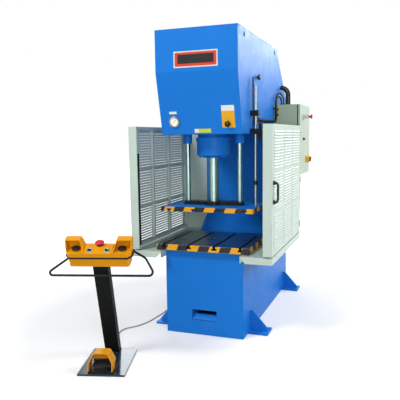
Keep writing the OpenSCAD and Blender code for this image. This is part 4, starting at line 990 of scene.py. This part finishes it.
def fit_rollers():
    """Roller and lever on each limit switch, and the star grip over the side plate's clamp."""
    roller = turned([
        (0.003, 0), (0.0085, 0), (0.0092, 0.0010), (0.0092, 0.0050), (0.0085, 0.0060), (0.003, 0.0060),
    ], 40, ring=True)
    lever = soft_box((-0.004, -0.003, 0.0060), (0.004, 0.020, 0.0085), 0.001)
    pin = turned([(0.0032, 0.0040), (0.0032, 0.0095), (0, 0.0098)], 24)
    switches = [shifted(0.372, -0.050, z) @ turned_by(90, "X") for z in (1.455, 1.531)]
    star = turned([
        (0.0100, 0.0095), (0.0172, 0.0100), (0.0195, 0.0125), (0.0195, 0.0200), (0.0172, 0.0235),
        (0.0090, 0.0250), (0, 0.0252),
    ], 96, 3, 0.0035)
    star = placed(star, shifted(HALF, 0.150, FOLD - 0.009) @ facing(1) @ turned_by(30, "Z"))
    make_piece("rail_star_grip", [star], black_mould, "frame")
    make_piece("limit_switch_rollers", at_each(roller, switches), black_mould, "frame")
    levers = at_each(lever, switches) + at_each(pin, switches)
    make_piece("limit_switch_levers", levers, black_enamel, "frame")


def bead(path, radius=0.0042, pitch=0.0060):
    """Weld bead: the radius runs as r (1 + 0.1 cos(2 pi s / pitch)) over the arc length s."""
    path = evenly(path, pitch / 4)
    s = np.arange(len(path)) * pitch / 4
    return along(path, radius * (1 + 0.1 * np.cos(2 * np.pi * s / pitch)), UP, 8)


def weld_seams():
    """Fillet welds of the anchor feet on the side plates, and of the pedestal's column on its plate."""
    seams = [
        bead([(side * HALF, y - 0.074, 0.015), (side * HALF, y + 0.074, 0.015)])
        for side in (-1, 1) for y in (-0.052, 1.180)
    ]
    make_piece("foot_welds", seams, blue_enamel, "frame")
    w, d = 0.0485, 0.0305 / math.cos(math.radians(LEAN))
    ring = rounded([(-w, 0, 0), (-w, -d, 0), (w, -d, 0), (w, d, 0), (-w, d, 0), (-w, 0, 0)], [0.003] * 4, 4)
    seam = placed(bead(ring, 0.0035), PEDESTAL @ shifted(COLUMN_X, COLUMN_Y, FLOOR_PLATE))
    make_piece("column_weld", [seam], black_enamel, "frame")


def rib_treadle():
    """Rubber ribs across the pedal's treadle, on its slope from 54 to 58 mm."""
    rib = soft_box((-0.052, -0.0022, -0.0005), (0.052, 0.0022, 0.0015), 0.0008)
    rows = np.linspace(0.060, 0.124, 8)
    places = [PEDESTAL @ shifted(0.146, y, 0.054 + (y - 0.05) * 0.004 / 0.09) for y in rows]
    make_piece("treadle_ribs", at_each(rib, places), black_rubber, "pedal")


HOOD_X, HOOD_FOOT, HOOD_REAR, HOOD_WALL = 0.140, 0.020, 0.135, 0.005


def hood_arch(inset):
    """Rounded arch of the pedal hood as (x, z) pairs, set in by a wall's thickness."""
    half, flat = 0.078 - inset, 0.046 - 0.6 * inset
    foot, shoulder, top = HOOD_FOOT, 0.068, 0.130 - inset
    left = [(-half, foot), (-half, shoulder), (-flat, top)]
    right = [(flat, top), (half, shoulder), (half, foot)]
    return rounded(left + right, [0.040, 0.022, 0.022, 0.040], 8)


def shape_hood():
    """Pedal hood: a shell over its arch, and a wall that closes its rear over the treadle's pin.

    Each point of the arch runs from y = foot + 0.25 (z - foot) back to the smaller of the rear and
    0.1 + 1.2 max(0, z - 0.04).
    """
    outer, inner = hood_arch(0.0), hood_arch(HOOD_WALL)
    x, z = np.stack([outer, outer, inner, inner], 1).transpose(2, 0, 1)
    front = HOOD_FOOT + 0.25 * (z - HOOD_FOOT)
    rear = np.minimum(HOOD_REAR, 0.100 + 1.2 * np.maximum(0, z - 0.040))
    y = np.where(np.array([True, False, False, True]), front, rear)
    shell = over_grid(np.stack([HOOD_X + x, y, z], -1), wrap_columns=True, ends=True)
    side = inner[:len(inner) // 2]
    side = side[side[:, 1] > 0.062]
    x = HOOD_X + side[:, :1] * np.array([1, -1, -1, 1])
    y, z = np.broadcast_arrays(HOOD_REAR - HOOD_WALL * np.array([1, 1, 0, 0]), side[:, 1:])
    wall = over_grid(np.stack([x, y, z], -1), wrap_columns=True, ends=True)
    shapes = [placed(shape, PEDESTAL) for shape in (shell, wall)]
    hood = make_piece("pedal_hood_shell", shapes, orange_enamel, "frame")
    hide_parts("pedal_hood")


def fit_chute():
    """Sloped plate in the base's slot, from the slot's front edge up to the rear."""
    plate = soft_box((-0.095, 0, -0.002), (0.095, 0.056, 0.002), 0.001)
    place = shifted(0, -0.2475, 0.1135) @ turned_by(40, "X")
    make_piece("slot_chute", [placed(plate, place)], blue_enamel, "frame")


lay_cable()
run_conduits()
bend_rail()
turn_console_buttons()
turn_cabinet_stop()
dress_gauge()
turn_knob()
drive_screws()
fit_handle()
fit_lock()
fit_rollers()
weld_seams()
rib_treadle()
shape_hood()
fit_chute()
